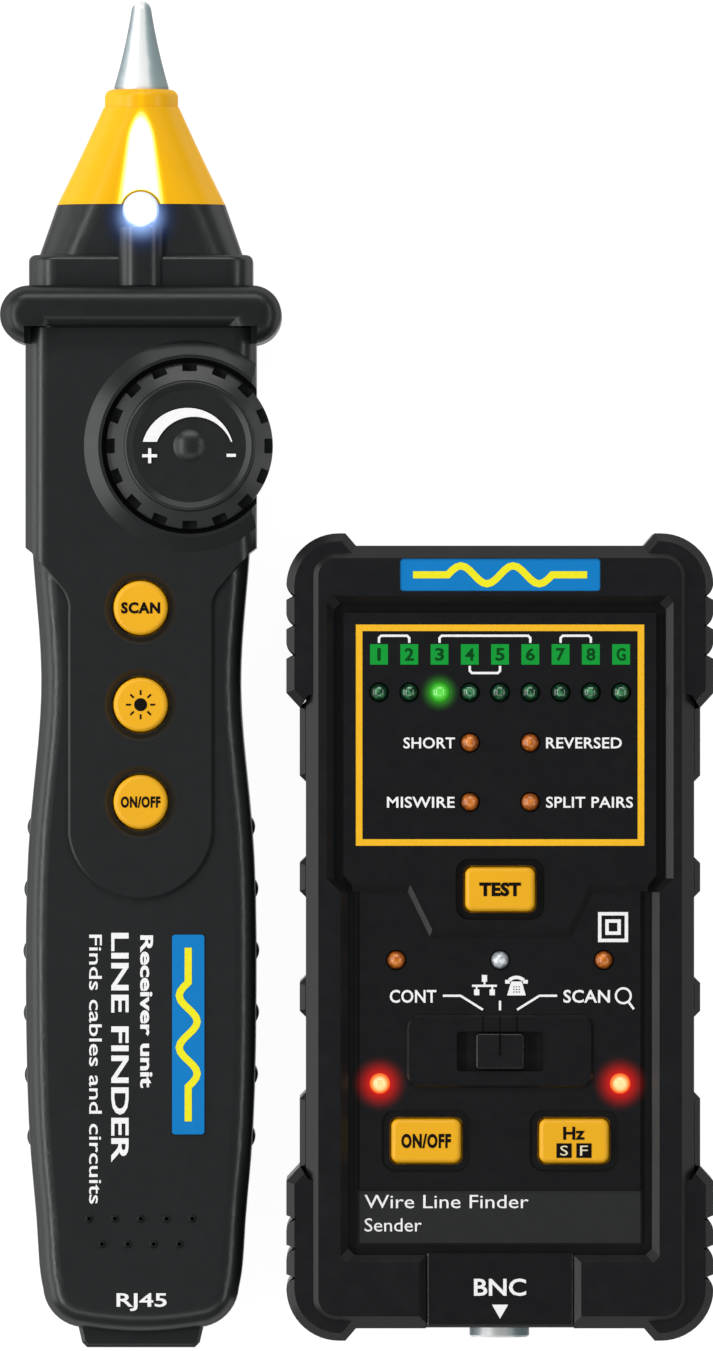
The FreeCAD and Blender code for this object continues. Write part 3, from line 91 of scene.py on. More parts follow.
# ---------------------------------------------------------------- material building blocks
class Shader:
    """A Principled material with short helpers for the nodes that feed it."""

    def __init__(self, name):
        self.material = bpy.data.materials.new(name)
        self.material.use_nodes = True
        self.tree = self.material.node_tree
        self.bsdf = self.tree.nodes["Principled BSDF"]
        self.coords = self.tree.nodes.new("ShaderNodeTexCoord").outputs["Object"]

    def set(self, **values):
        for key, value in values.items():
            self.bsdf.inputs[key.replace("_", " ")].default_value = value

    def link(self, output, socket):
        self.tree.links.new(output, self.bsdf.inputs[socket])

    def node(self, kind, *inputs, **settings):
        made = self.tree.nodes.new(kind)
        for key, value in settings.items():
            setattr(made, key, value)
        for index, value in enumerate(inputs):
            if value is None:
                continue
            if isinstance(value, bpy.types.NodeSocket):
                self.tree.links.new(value, made.inputs[index])
            else:
                made.inputs[index].default_value = value
        return made

    def math(self, operation, *inputs):
        return self.node("ShaderNodeMath", *inputs, operation=operation).outputs[0]

    def noise(self, size, detail=2.0, stretch=None):
        """Noise whose features are about size metres across, centred on 0.5."""
        coords = self.coords
        if stretch:
            coords = self.node("ShaderNodeVectorMath", coords, stretch, operation="MULTIPLY").outputs[0]
        made = self.node("ShaderNodeTexNoise", coords)
        made.inputs["Scale"].default_value = 1 / size
        made.inputs["Detail"].default_value = detail
        return made.outputs["Fac"]

    def ramp(self, factor, stops):
        made = self.node("ShaderNodeValToRGB", factor)
        ramp = made.color_ramp
        while len(ramp.elements) < len(stops):
            ramp.elements.new(0.5)
        for element, (position, colour) in zip(ramp.elements, stops):
            element.position = position
            element.color = (*colour, 1)
        return made.outputs["Color"]

    def smooth(self, value, low, high, to_low=0.0, to_high=1.0):
        """Value carried smoothly from low..high to to_low..to_high, and clamped."""
        made = self.node("ShaderNodeMapRange", value, low, high, to_low, to_high)
        made.interpolation_type = "SMOOTHSTEP"
        return made.outputs[0]

    def distance(self, point, squeeze=(1, 1, 1)):
        """Distance from a point, with each axis's share multiplied by squeeze."""
        offset = self.node("ShaderNodeVectorMath", self.coords, tuple(point), operation="SUBTRACT").outputs[0]
        scaled = self.node("ShaderNodeVectorMath", offset, squeeze, operation="MULTIPLY").outputs[0]
        return self.node("ShaderNodeVectorMath", scaled, operation="LENGTH").outputs["Value"]

    def bumps(self, *layers):
        """Bump from (height output, depth in metres) layers, one on top of the other."""
        normal = None
        for height, depth in layers:
            made = self.node("ShaderNodeBump")
            made.inputs["Strength"].default_value = 1.0
            made.inputs["Distance"].default_value = depth
            self.tree.links.new(height, made.inputs["Height"])
            if normal:
                self.tree.links.new(normal, made.inputs["Normal"])
            normal = made.outputs["Normal"]
        self.link(normal, "Normal")

    def mix(self, factor, first, second, blend_type="MIX"):
        """Two colours blended: each input is a number, a colour or another node's output."""
        made = self.node("ShaderNodeMix", data_type="RGBA", blend_type=blend_type)
        colours = {s.name: s for s in made.inputs if s.type == "RGBA"}
        self.feed(made.inputs["Factor"], factor)
        self.feed(colours["A"], first)
        self.feed(colours["B"], second)
        return [s for s in made.outputs if s.type == "RGBA"][0]

    def feed(self, socket, value):
        if isinstance(value, bpy.types.NodeSocket):
            self.tree.links.new(value, socket)
        elif isinstance(value, (tuple, list)):
            socket.default_value = (*value, 1) if len(value) == 3 else value
        else:
            socket.default_value = value


def shade(colour, factor):
    """A surface colour made darker or lighter, never above white."""
    return tuple(min(1.0, c * factor) for c in colour)


def brighten(colour, factor):
    """A light's colour made stronger or weaker."""
    return tuple(c * factor for c in colour)


def soft_edge_gloss(shader, specular):
    """Specular level that fades on surfaces seen edge-on, as fine grain does to a moulded surface."""
    turned_away = shader.node("ShaderNodeLayerWeight", 0.5).outputs["Facing"]
    shader.link(shader.smooth(turned_away, 0.36, 0.66, specular, 0.1 * specular), "Specular IOR Level")


def plastic(name, colour, roughness, depth=0.004 * MM, vary=0.04, specular=0.42):
    """Moulded plastic: fine spark-eroded grain, slight unevenness in colour and in gloss."""
    s = Shader(name)
    cloud = s.noise(14 * MM, 3.0)
    s.link(s.ramp(cloud, [(0.3, shade(colour, 1 - vary)), (0.7, shade(colour, 1 + vary))]), "Base Color")
    wear = s.noise(2.5 * MM, 4.0)
    s.link(s.smooth(wear, 0.3, 0.7, roughness - 0.02, roughness + 0.02), "Roughness")
    s.bumps((s.noise(0.3 * MM, 2.0), depth))
    soft_edge_gloss(s, specular)
    return s


def rubber(name, colour, roughness, specular=0.42, depth=0.004 * MM):
    """Soft moulded rubber with dusty, slightly sheened skin."""
    s = Shader(name)
    dust = s.noise(3.5 * MM, 5.0)
    s.link(s.ramp(dust, [(0.35, colour), (0.75, shade(colour, 1.12))]), "Base Color")
    s.link(s.smooth(dust, 0.3, 0.8, roughness - 0.02, roughness + 0.03), "Roughness")
    s.bumps((s.noise(0.5 * MM, 3.0), depth))
    soft_edge_gloss(s, specular)
    return s


def metal(name, colour, roughness):
    """Plated metal with fine tool marks and faint smudges."""
    s = Shader(name)
    smudge = s.noise(4 * MM, 3.0)
    s.link(s.ramp(smudge, [(0.3, shade(colour, 0.92)), (0.7, colour)]), "Base Color")
    s.link(s.smooth(smudge, 0.3, 0.7, roughness - 0.03, roughness + 0.06), "Roughness")
    s.bumps((s.noise(0.12 * MM, 2.0), 0.0015 * MM))
    s.set(Metallic=1.0)
    return s


def ink(name, colour, specular=0.3):
    """Screen-printed ink: very slightly uneven in tone, with a fine orange-peel surface."""
    s = Shader(name)
    patchy = s.noise(0.8 * MM, 3.0)
    s.link(s.ramp(patchy, [(0.25, shade(colour, 0.93)), (0.6, colour)]), "Base Color")
    s.bumps((s.noise(0.25 * MM, 2.0), 0.002 * MM))
    s.set(Roughness=0.5, Specular_IOR_Level=specular)
    return s


# ---------------------------------------------------------------- materials of the carried CAD nodes
RX_BLACK = (0.0135, 0.0150, 0.0154)
TX_BLACK = (0.0050, 0.0051, 0.0058)
YELLOW = (0.86, 0.435, 0.004)
BUTTON_YELLOW = (0.83, 0.41, 0.004)
WHITE_INK = (0.88, 0.88, 0.87)
BLACK_INK = (0.006, 0.004, 0.003)
DARK = (0.0, 0.0, 0.0)
GLOW_SQUEEZE = (1, 1, 0.3)   # a glow reaches further up and down than along the surface
BATTERY_LENGTH = 48.5 * MM


def add_glow(shader, spots):
    """Light that lit lamps spill on the surface round them: (centre, reach, colour, strength) for each."""
    total = None
    for centre, reach, colour, strength in spots:
        near = shader.smooth(shader.distance(centre, GLOW_SQUEEZE), 0.0, reach, 1.0, 0.0)
        falloff = shader.math("POWER", near, 1.6)
        lit = shader.mix(falloff, DARK, brighten(colour, strength))
        total = shader.mix(1.0, total, lit, blend_type="ADD") if total else lit
    shader.link(total, "Emission Color")
    shader.set(Emission_Strength=1.0)


def lamp_centre():
    """Middle of the receiver's ball lens, found from its upper end because its tube reaches down from it."""
    low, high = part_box("lamp_led")
    radius = (high[0] - low[0]) / 2
    return Vector(((low[0] + high[0]) / 2, high[1] - radius, (low[2] + high[2]) / 2))


def receiver_shell_material():
    """Receiver's black plastic, with the lamp's blue halo on it."""
    s = plastic("receiver_black", RX_BLACK, roughness=0.30)
    halo = lamp_centre() - Vector((0, 1.0 * MM, 0))
    add_glow(s, [(halo, 5.4 * MM, (0.4, 0.6, 1.0), 1.5), (halo, 7.6 * MM, (0.03, 0.09, 0.40), 0.8)])
    return s


BEAM_TONES = [(0.0, DARK), (0.3, (0.3, 0.2, 0.0)), (0.6, (0.9, 0.8, 0.25)), (0.85, (1, 1, 1))]


def cone_material():
    """Yellow moulded cone, with the lamp's beam lying along its upper side."""
    s = plastic("cone_yellow", YELLOW, roughness=0.30, depth=0.002 * MM, specular=0.22)
    lamp = lamp_centre()
    parts = s.node("ShaderNodeSeparateXYZ", s.coords)
    across = s.math("ABSOLUTE", s.math("SUBTRACT", parts.outputs["X"], lamp.x))
    start, end = lamp.y + 1.2 * MM, lamp.y + 16.8 * MM
    share = s.node("ShaderNodeMapRange", parts.outputs["Y"], start, end, 0, 1).outputs[0]
    half_width = s.math("SUBTRACT", 4.1 * MM, s.math("MULTIPLY", share, 2.4 * MM))
    ratio = s.math("DIVIDE", across, half_width)
    rounding = s.math("POWER", s.smooth(share, 0.55, 1.12, 0.0, 1.15), 2.0)
    reach = s.math("ADD", s.math("POWER", ratio, 2.0), rounding)
    beam = s.smooth(reach, 0.2, 1.25, 1.0, 0.0)
    clear = s.smooth(s.distance(lamp, (1, 1, 0)), 3.1 * MM, 3.5 * MM)
    beam = s.math("MULTIPLY", beam, clear)
    front = s.math("MULTIPLY", beam, s.smooth(parts.outputs["Z"], lamp.z - 9.5 * MM, lamp.z - 7.5 * MM))
    s.link(s.ramp(front, BEAM_TONES), "Emission Color")
    s.set(Emission_Strength=1.0)
    return s


# Painted reflection and shade for the nickel, by how far the surface faces left (0) or right (1): near-white
# leaning left, light grey on top, grey-blue to dark towards both flanks.
TIP_PAINTED_REFLECTION_TONES = [(0.03, (0.12, 0.17, 0.19)), (0.14, (0.40, 0.46, 0.48)), (0.24, (0.95, 0.96, 0.97)),
             (0.42, (0.80, 0.81, 0.81)), (0.62, (0.78, 0.80, 0.80)), (0.72, (0.34, 0.42, 0.43)),
             (0.90, (0.20, 0.27, 0.28)), (0.98, (0.10, 0.14, 0.15))]


def painted_reflection_nickel_material(name):
    """Nickel plating with a painted reflection and painted shade: its colour follows which way the surface
    faces, grey-blue along its flanks and bright where it leans up and to the left.
    """
    s = Shader(name)
    facing = s.node("ShaderNodeSeparateXYZ", s.node("ShaderNodeTexCoord").outputs["Normal"]).outputs["X"]
    turned = s.node("ShaderNodeMapRange", facing, -1.0, 1.0, 0.0, 1.0).outputs[0]
    uneven = s.math("ADD", turned, s.smooth(s.noise(2.0 * MM), 0.3, 0.7, -0.01, 0.01))
    # Painted reflection: the base colour is set by the surface's sideways facing, with a faint random wobble.
    s.link(s.ramp(uneven, TIP_PAINTED_REFLECTION_TONES), "Base Color")
    s.bumps((s.noise(0.2 * MM, 2.0, (0.02, 1.0, 0.02)), 0.0006 * MM))
    s.set(Metallic=0.15, Roughness=0.38, Specular_IOR_Level=0.3)
    return s


def lamp_material():
    """Lit white lamp: burnt out in the middle, falling off to blue at its rim."""
    s = Shader("lamp_white")
    from_middle = s.distance(lamp_centre(), (1, 1, 0))
    uneven = s.math("ADD", from_middle, s.smooth(s.noise(1.5 * MM, 1.0), 0.3, 0.7, -0.1 * MM, 0.1 * MM))
    heart = s.smooth(uneven, 2.1 * MM, 3.0 * MM, 1.0, 0.0)
    tones = [(0.0, (0.16, 0.28, 0.62)), (0.45, (0.6, 0.78, 1.0)), (0.8, (1, 1, 1))]
    s.link(s.ramp(heart, tones), "Emission Color")
    s.set(Base_Color=(0.3, 0.34, 0.4, 1), Emission_Strength=1.0, Roughness=0.3)
    return s


def lens_material(name, deep, bright, roughness=0.12):
    """Tinted epoxy lens with painted shade and a painted highlight: dark towards its rim, paler and slightly
    uneven in its middle, by how upright its surface is.
    """
    s = Shader(name)
    normal = s.node("ShaderNodeTexCoord").outputs["Normal"]
    upright = s.node("ShaderNodeSeparateXYZ", normal).outputs["Z"]
    # Painted shade and highlight: colour follows the surface's upward facing, near-black at the rim and pale
    # on top, with random mottling.
    dome_shade_and_mottle = s.math("MULTIPLY", upright, s.smooth(s.noise(0.8 * MM, 2.0), 0.35, 0.65, 0.72, 1.08))
    s.link(s.ramp(dome_shade_and_mottle, [(0.35, shade(deep, 0.2)), (0.68, deep), (0.96, bright)]), "Base Color")
    s.set(Roughness=roughness, Coat_Weight=0.3, Coat_Roughness=0.1)
    return s


def near_lens(shader, centre, heart):
    """1 within heart of a lens's middle, seen from above, falling to 0 just outside its rim."""
    return shader.smooth(shader.distance(centre, (1, 1, 0)), heart, LENS_REACH, 1.0, 0.0)


def lens_row(node, count):
    """Top centres of a level row of equal lamps, from the row's own extent."""
    low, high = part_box(node)
    flange = (high[1] - low[1]) / 2
    first, last = low[0] + flange, high[0] - flange
    y = (low[1] + high[1]) / 2
    return [Vector((first + (last - first) * i / (count - 1), y, high[2])) for i in range(count)]


NUMBERED = lens_row("green_leds", 9)
RED_PAIR = lens_row("red_leds", 2)
LIT_GREEN = NUMBERED[2]
LENS_REACH = 1.9 * MM
GREEN_GLOW = [(0.0, DARK), (0.12, (0.02, 0.30, 0.01)), (0.9, (0.13, 0.72, 0.06))]
RED_GLOW = [(0.0, (0.75, 0.03, 0.0)), (0.3, (1.0, 0.30, 0.06)), (0.7, (1.0, 0.72, 0.30))]


def case_material():
    """Transmitter's black plastic, with the glow of the two red lamps on it."""
    s = plastic("case_black", TX_BLACK, roughness=0.31)
    add_glow(s, [(spot, 5.0 * MM, (0.95, 0.006, 0.0), 1.0) for spot in RED_PAIR])
    return s


def panel_material():
    """The raised panel's black plastic, with the glow of the one lit green lamp on it."""
    s = plastic("panel_black", TX_BLACK, roughness=0.31)
    add_glow(s, [(LIT_GREEN, 3.6 * MM, (0.05, 0.55, 0.02), 1.0)])
    return s


def amber_material():
    """Unlit amber lamps."""
    return lens_material("led_amber", (0.46, 0.115, 0.008), (0.72, 0.22, 0.025), 0.3)


def green_material():
    """Numbered lamps, of which one is lit."""
    s = lens_material("led_green", (0.0, 0.035, 0.012), (0.06, 0.24, 0.10))
    near = near_lens(s, LIT_GREEN, LENS_REACH * 0.15)
    s.link(s.ramp(near, GREEN_GLOW), "Emission Color")
    s.set(Emission_Strength=1.0)
    return s


def red_material():
    """Both red lamps, lit."""
    s = lens_material("led_red", (0.3, 0.02, 0.01), (0.4, 0.1, 0.05))
    left, right = [near_lens(s, spot, 0.3 * MM) for spot in RED_PAIR]
    s.link(s.ramp(s.math("MAXIMUM", left, right), RED_GLOW), "Emission Color")
    s.set(Emission_Strength=1.0, Coat_Weight=0.1)
    return s


def board_material():
    """Green solder mask over the board's weave."""
    s = Shader("board_green")
    weave = s.node("ShaderNodeTexWave", s.coords)
    weave.inputs["Scale"].default_value = 1 / (1.2 * MM)
    tones = [(0.3, (0.01, 0.11, 0.035)), (0.6, (0.015, 0.17, 0.055))]
    s.link(s.ramp(weave.outputs["Fac"], tones), "Base Color")
    s.set(Roughness=0.3, Coat_Weight=0.5, Coat_Roughness=0.15)
    return s


def battery_material():
    """Printed can: dark body with a paler band round one end."""
    s = Shader("battery_can")
    parts = s.node("ShaderNodeSeparateXYZ", s.coords)
    bands = s.math("FRACT", s.math("MULTIPLY", parts.outputs["Y"], 1 / BATTERY_LENGTH))
    s.link(s.ramp(bands, [(0.62, (0.03, 0.03, 0.035)), (0.64, (0.55, 0.42, 0.2))]), "Base Color")
    s.link(s.smooth(s.noise(5 * MM), 0.3, 0.7, 0.25, 0.38), "Roughness")
    s.set(Metallic=0.7)
    return s


def dress_nodes():
    """Every carried CAD node gets its material."""
    wearing = (
        (receiver_shell_material(), ["receiver_front_shell", "receiver_rear_shell", "receiver_battery_door"]),
        (case_material(), ["transmitter_front_case", "transmitter_rear_case", "transmitter_battery_door"]),
        (panel_material(), ["indicator_panel", "switch_plate"]),
        (rubber("holster_rubber", shade(TX_BLACK, 1.05), 0.33), ["protective_holster"]),
        (rubber("collar_rubber", shade(RX_BLACK, 0.8), 0.34, specular=0.3, depth=0.001 * MM),
         ["collar_ring"]),
        (plastic("knob_black", shade(RX_BLACK, 0.8), 0.36), ["sensitivity_knob"]),
        (plastic("slider_black", shade(TX_BLACK, 1.1), 0.34), ["mode_switch_cap"]),
        (plastic("button_yellow", BUTTON_YELLOW, 0.45, depth=0.003 * MM, vary=0.03),
         ["scan_button", "lamp_button", "receiver_power_button", "test_button", "transmitter_power_button",
          "tone_button"]),
        (plastic("badge_blue", (0.003, 0.195, 0.53), 0.3, depth=0.001 * MM, vary=0.03),
         ["receiver_badge", "transmitter_badge"]),
        (cone_material(), ["nose_cone"]),
        (painted_reflection_nickel_material("tip_metal"), ["probe_tip"]),
        (painted_reflection_nickel_material("bnc_nickel"), ["bnc_shell", "bnc_nut"]),
        (plastic("bnc_insulator_white", (0.8, 0.8, 0.77), 0.5), ["bnc_insulator"]),
        (lamp_material(), ["lamp_led"]),
        (green_material(), ["green_leds"]),
        (amber_material(), ["amber_leds"]),
        (red_material(), ["red_leds"]),
        (lens_material("led_clear", (0.42, 0.45, 0.48), (0.85, 0.87, 0.9), 0.2), ["clear_led"]),
        (plastic("spacer_nylon", (0.6, 0.6, 0.58), 0.5), ["led_spacers"]),
        (board_material(), ["receiver_circuit_board", "transmitter_circuit_board"]),
        (battery_material(), ["receiver_battery", "transmitter_battery"]),
        (plastic("jack_grey", (0.03, 0.03, 0.033), 0.45), ["receiver_jack_housing", "line_jack_housings"]),
        (metal("contact_gold", (0.9, 0.66, 0.28), 0.22),
         ["receiver_jack_contacts", "line_jack_contacts", "bnc_centre_contact"]),
        (metal("screw_steel", (0.2, 0.2, 0.21), 0.35), ["receiver_case_screws", "transmitter_case_screws"]),
        (metal("inner_steel", (0.62, 0.62, 0.6), 0.3),
         ["tip_contact_spring", "potentiometer_body", "potentiometer_shaft", "receiver_switches",
          "transmitter_switches", "mode_switch_body"]),
        (plastic("inner_black", (0.02, 0.02, 0.022), 0.5),
         ["scan_plunger", "lamp_plunger", "receiver_power_plunger", "test_plunger",
          "transmitter_power_plunger", "tone_plunger", "mode_switch_actuator", "receiver_battery_snap",
          "transmitter_battery_snap", "speaker", "buzzer", "receiver_ribbon_cable"]),
    )
    for shader, members in wearing:
        for node in members:
            mesh = nodes[node].data
            mesh.materials.clear()
            mesh.materials.append(shader.material)


# ---------------------------------------------------------------- printed marks
class Print:
    """Collects flat printed marks of one ink on one body, and makes them one thin mesh."""

    def __init__(self, name, body, slot, shader):
        self.name, self.body, self.slot, self.shader = name, body, slot, shader
        self.mesh = bmesh.new()

    def polygon(self, points, z):
        """A mark bounded by (x, y) points in metres, as a thin slab that stands on height z."""
        low = [self.mesh.verts.new((x, y, z + LIFT)) for x, y in points]
        high = [self.mesh.verts.new((x, y, z + LIFT + INK)) for x, y in points]
        self.mesh.faces.new(high)
        self.mesh.faces.new(list(reversed(low)))
        for i in range(len(points)):
            j = (i + 1) % len(points)
            self.mesh.faces.new((low[i], low[j], high[j], high[i]))

    def bar(self, start, end, width, z):
        """A straight stroke with square ends."""
        (x0, y0), (x1, y1) = start, end
        length = math.hypot(x1 - x0, y1 - y0)
        nx, ny = -(y1 - y0) / length * width / 2, (x1 - x0) / length * width / 2
        self.polygon([(x0 - nx, y0 - ny), (x1 - nx, y1 - ny), (x1 + nx, y1 + ny), (x0 + nx, y0 + ny)], z)

    def stroke(self, points, width, z):
        """Joined straight strokes along the points, mitred at each bend."""
        left, right = [], []
        for i, (x, y) in enumerate(points):
            before = Vector(points[max(i - 1, 0)])
            after = Vector(points[min(i + 1, len(points) - 1)])
            here = Vector((x, y))
            into = (here - before).normalized() if i else (after - here).normalized()
            out = (after - here).normalized() if i < len(points) - 1 else into
            bend = (into + out).normalized()
            normal = Vector((-bend.y, bend.x))
            reach = width / 2 / max(0.35, normal.dot(Vector((-into.y, into.x))))
            left.append((x + normal.x * reach, y + normal.y * reach))
            right.append((x - normal.x * reach, y - normal.y * reach))
        for i in range(len(points) - 1):
            self.polygon([right[i], right[i + 1], left[i + 1], left[i]], z)

    def disc(self, centre, radius, z, count=28):
        self.polygon([on_circle(centre, radius, 360 * i / count) for i in range(count)], z)

    def ring(self, centre, radius, width, z, start=0, end=360, count=36):
        """Round or part-round stroke of the given width, from start to end degrees."""
        inner, outer = radius - width / 2, radius + width / 2
        for i in range(count):
            a, b = start + (end - start) * i / count, start + (end - start) * (i + 1) / count
            self.polygon([on_circle(centre, inner, a), on_circle(centre, outer, a),
                          on_circle(centre, outer, b), on_circle(centre, inner, b)], z)

    def block(self, centre, width, height, z):
        x, y = centre
        self.polygon([(x - width / 2, y - height / 2), (x + width / 2, y - height / 2),
                      (x + width / 2, y + height / 2), (x - width / 2, y + height / 2)], z)

    def outline(self, x0, x1, y0, y1, width, z):
        """Rectangular frame measured to its outer edges."""
        self.polygon([(x0, y0), (x1, y0), (x1, y0 + width), (x0, y0 + width)], z)
        self.polygon([(x0, y1 - width), (x1, y1 - width), (x1, y1), (x0, y1)], z)
        low, high = y0 + width, y1 - width
        self.polygon([(x0, low), (x0 + width, low), (x0 + width, high), (x0, high)], z)
        self.polygon([(x1 - width, low), (x1, low), (x1, high), (x1 - width, high)], z)

    def words(self, text, centre, width, cap, z, turn=0.0, weight=0.0, spacing=1.0):
        """Lettering fitted to a width and a capital height, centred on a point, turned by degrees."""
        curve = bpy.data.curves.new(self.name + "_letters", "FONT")
        curve.body = text
        curve.size = 1.0
        slab = 0.02
        curve.offset = weight
        curve.space_character = spacing
        curve.resolution_u = 3
        curve.extrude = slab / 2
        holder = bpy.data.objects.new(curve.name, curve)
        bpy.context.scene.collection.objects.link(holder)
        bpy.context.view_layer.update()
        letters = bpy.data.meshes.new_from_object(holder.evaluated_get(bpy.context.evaluated_depsgraph_get()))
        bpy.data.objects.remove(holder)
        bpy.data.curves.remove(curve)
        xs = [v.co.x for v in letters.vertices]
        ys = [v.co.y for v in letters.vertices]
        hangs_below = any(c in "gjpqy" for c in text)
        capital = CAPITAL if hangs_below else max(ys) - min(min(ys), 0.0)
        base = 0.0 if hangs_below else min(ys)
        fit = Matrix.Translation((*centre, z + LIFT + INK / 2))
        fit @= Matrix.Rotation(math.radians(turn), 4, "Z")
        fit @= Matrix.Diagonal((width / (max(xs) - min(xs)), cap / capital, INK / slab, 1))
        fit @= Matrix.Translation((-(max(xs) + min(xs)) / 2, -base - capital / 2, 0))
        letters.transform(fit)
        self.mesh.from_mesh(letters)
        bpy.data.meshes.remove(letters)

    def finish(self):
        mesh = bpy.data.meshes.new(self.name)
        bmesh.ops.recalc_face_normals(self.mesh, faces=self.mesh.faces)
        self.mesh.to_mesh(mesh)
        self.mesh.free()
        mesh.materials.append(self.shader.material)
        piece = bpy.data.objects.new(self.name, mesh)
        bpy.context.scene.collection.objects.link(piece)
        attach(piece, self.body)
        return piece


def on_circle(centre, radius, degrees):
    angle = math.radians(degrees)
    return (centre[0] + radius * math.cos(angle), centre[1] + radius * math.sin(angle))


def shifted(point, x, y):
    """An (x, y) pair moved by millimetres."""
    return (point[0] + x * MM, point[1] + y * MM)


LEADER = 0.36 * MM           # width of the leader lines above the slide switch
WHITE = ink("white_ink", WHITE_INK)
BLACK = ink("black_ink", BLACK_INK, specular=0.08)
GOLD = ink("yellow_ink", (0.90, 0.48, 0.012))
LEMON = ink("lemon_ink", (0.86, 0.80, 0.01))
GREEN = ink("green_ink", (0.004, 0.31, 0.036), specular=0.15)
DARK_GREEN = ink("dark_green_ink", (0.001, 0.06, 0.008), specular=0.1)
PALE = ink("pale_ink", (0.8, 0.72, 0.5))


def key_word(key, text, width, cap, weight=0.045, spacing=1.12):
    """A black word, sized in millimetres, on one yellow key."""
    button, body = key + "_button", key + "_key"
    marks = Print(body + "_mark", body, "inner_black", BLACK)
    marks.words(text, middle(button), width * MM, cap * MM, top(button), weight=weight, spacing=spacing)
    marks.finish()


def lamp_key_mark():
    """A sun: a disc with eight rays."""
    centre, z = middle("lamp_button"), top("lamp_button")
    marks = Print("lamp_key_mark", "lamp_key", "inner_black", BLACK)
    marks.disc(centre, 1.05 * MM, z)
    for i in range(8):
        angle = 45 * i
        marks.bar(on_circle(centre, 1.55 * MM, angle), on_circle(centre, 2.35 * MM, angle), 0.3 * MM, z)
    marks.finish()


def tone_key_marks():
    """Hz, over two pale letters on black blocks."""
    centre, z = middle("tone_button"), top("tone_button")
    marks = Print("tone_key_mark", "tone_key", "inner_black", BLACK)
    marks.words("Hz", shifted(centre, 0, 1.25), 3.5 * MM, 2.1 * MM, z, weight=0.03)
    pale = Print("tone_key_letters", "tone_key", "button_yellow", PALE)
    for letter, x in (("S", -1.6), ("F", 1.6)):
        spot = shifted(centre, x, -1.55)
        marks.block(spot, 2.45 * MM, 2.35 * MM, z)
        pale.words(letter, spot, 1.25 * MM, 1.6 * MM, z + INK)
    marks.finish()
    pale.finish()


def key_marks():
    """The marks on all six yellow keys."""
    key_word("scan", "SCAN", 6.3, 1.86)
    key_word("receiver_power", "ON/OFF", 6.4, 1.86)
    lamp_key_mark()
    key_word("test", "TEST", 6.7, 2.25, weight=0.05, spacing=1.06)
    key_word("transmitter_power", "ON/OFF", 8.0, 2.35)
    tone_key_marks()


def arc_above(centre, radius, level, steps):
    """Points on a circle above the line y = level, from its left end over the top to its right end."""
    rise = math.degrees(math.asin((level - centre[1]) / radius))
    return [on_circle(centre, radius, 180 - rise - (180 - 2 * rise) * i / steps) for i in range(steps + 1)]


def knob_marks():
    """White tapering crescent, between two circles out of centre, with a plus and a minus at its ends."""
    centre = middle("sensitivity_knob")
    face_z = top("sensitivity_knob") - 0.6 * MM
    level = centre[1] + 0.65 * MM
    steps = 30
    stroke = 0.5 * MM
    marks = Print("knob_marks", "knob", "lamp_white", WHITE)
    outside = arc_above(shifted(centre, -0.32, -1.38), 7.49 * MM, level, steps)
    inside = arc_above(shifted(centre, 0.71, -1.72), 6.41 * MM, level, steps)
    for i in range(steps):
        marks.polygon([outside[i], inside[i], inside[i + 1], outside[i + 1]], face_z)
    plus, minus = shifted(centre, -6.42, -1.6), shifted(centre, 6.72, -1.53)
    marks.bar(shifted(plus, -1.2, 0), shifted(plus, 1.2, 0), stroke, face_z)
    marks.bar(shifted(plus, 0, -1.2), shifted(plus, 0, -0.25), stroke, face_z)
    marks.bar(shifted(plus, 0, 0.25), shifted(plus, 0, 1.2), stroke, face_z)
    marks.bar(shifted(minus, -0.75, 0), shifted(minus, 0.75, 0), stroke, face_z)
    marks.finish()


def pulse(marks, centre, length, height, width, z, upright=False):
    """Generic tone symbol: a wave between two short level strokes."""
    points = [(-0.5, 0.0), (-0.3, 0.0)]
    points += [(-0.3 + 0.6 * i / 24, math.sin(math.radians(i * 30)) / 2) for i in range(1, 24)]
    points += [(0.3, 0.0), (0.5, 0.0)]
    placed = []
    for along, up in points:
        x, y = (up * height, along * length) if upright else (along * length, up * height)
        placed.append((centre[0] + x, centre[1] + y))
    marks.stroke(placed, width, z)


def badge_marks():
    """Yellow tone symbol on each unit's blue badge."""
    for body, upright in (("transmitter", False), ("receiver", True)):
        badge = body + "_badge"
        marks = Print(badge + "_mark", body, "button_yellow", LEMON)
        pulse(marks, middle(badge), 28 * MM, 2.9 * MM, 1.15 * MM, top(badge), upright)
        marks.finish()


def receiver_print():
    """Lettering along the grip, reading down it, and the socket's name at the lower end."""
    marks = Print("receiver_print", "receiver", "lamp_white", WHITE)
    z = GRIP_Z + 0.01 * MM
    for text, x, y0, y1, cap, weight in (("Receiver unit", 0.95, 42.0, 66.6, 2.1, 0.03),
                                         ("LINE FINDER", -3.35, 30.0, 67.0, 2.8, 0.022),
                                         ("Finds cables and circuits", -7.3, 23.3, 66.7, 2.05, 0.008)):
        centre = rx(x, (y0 + y1) / 2)
        marks.words(text, centre, (y1 - y0) * MM, cap * MM, z, turn=-90, weight=weight)
    marks.words("RJ45", rx(0.15, 7.45), 8.1 * MM, 2.9 * MM, z, weight=0.015)
    marks.finish()


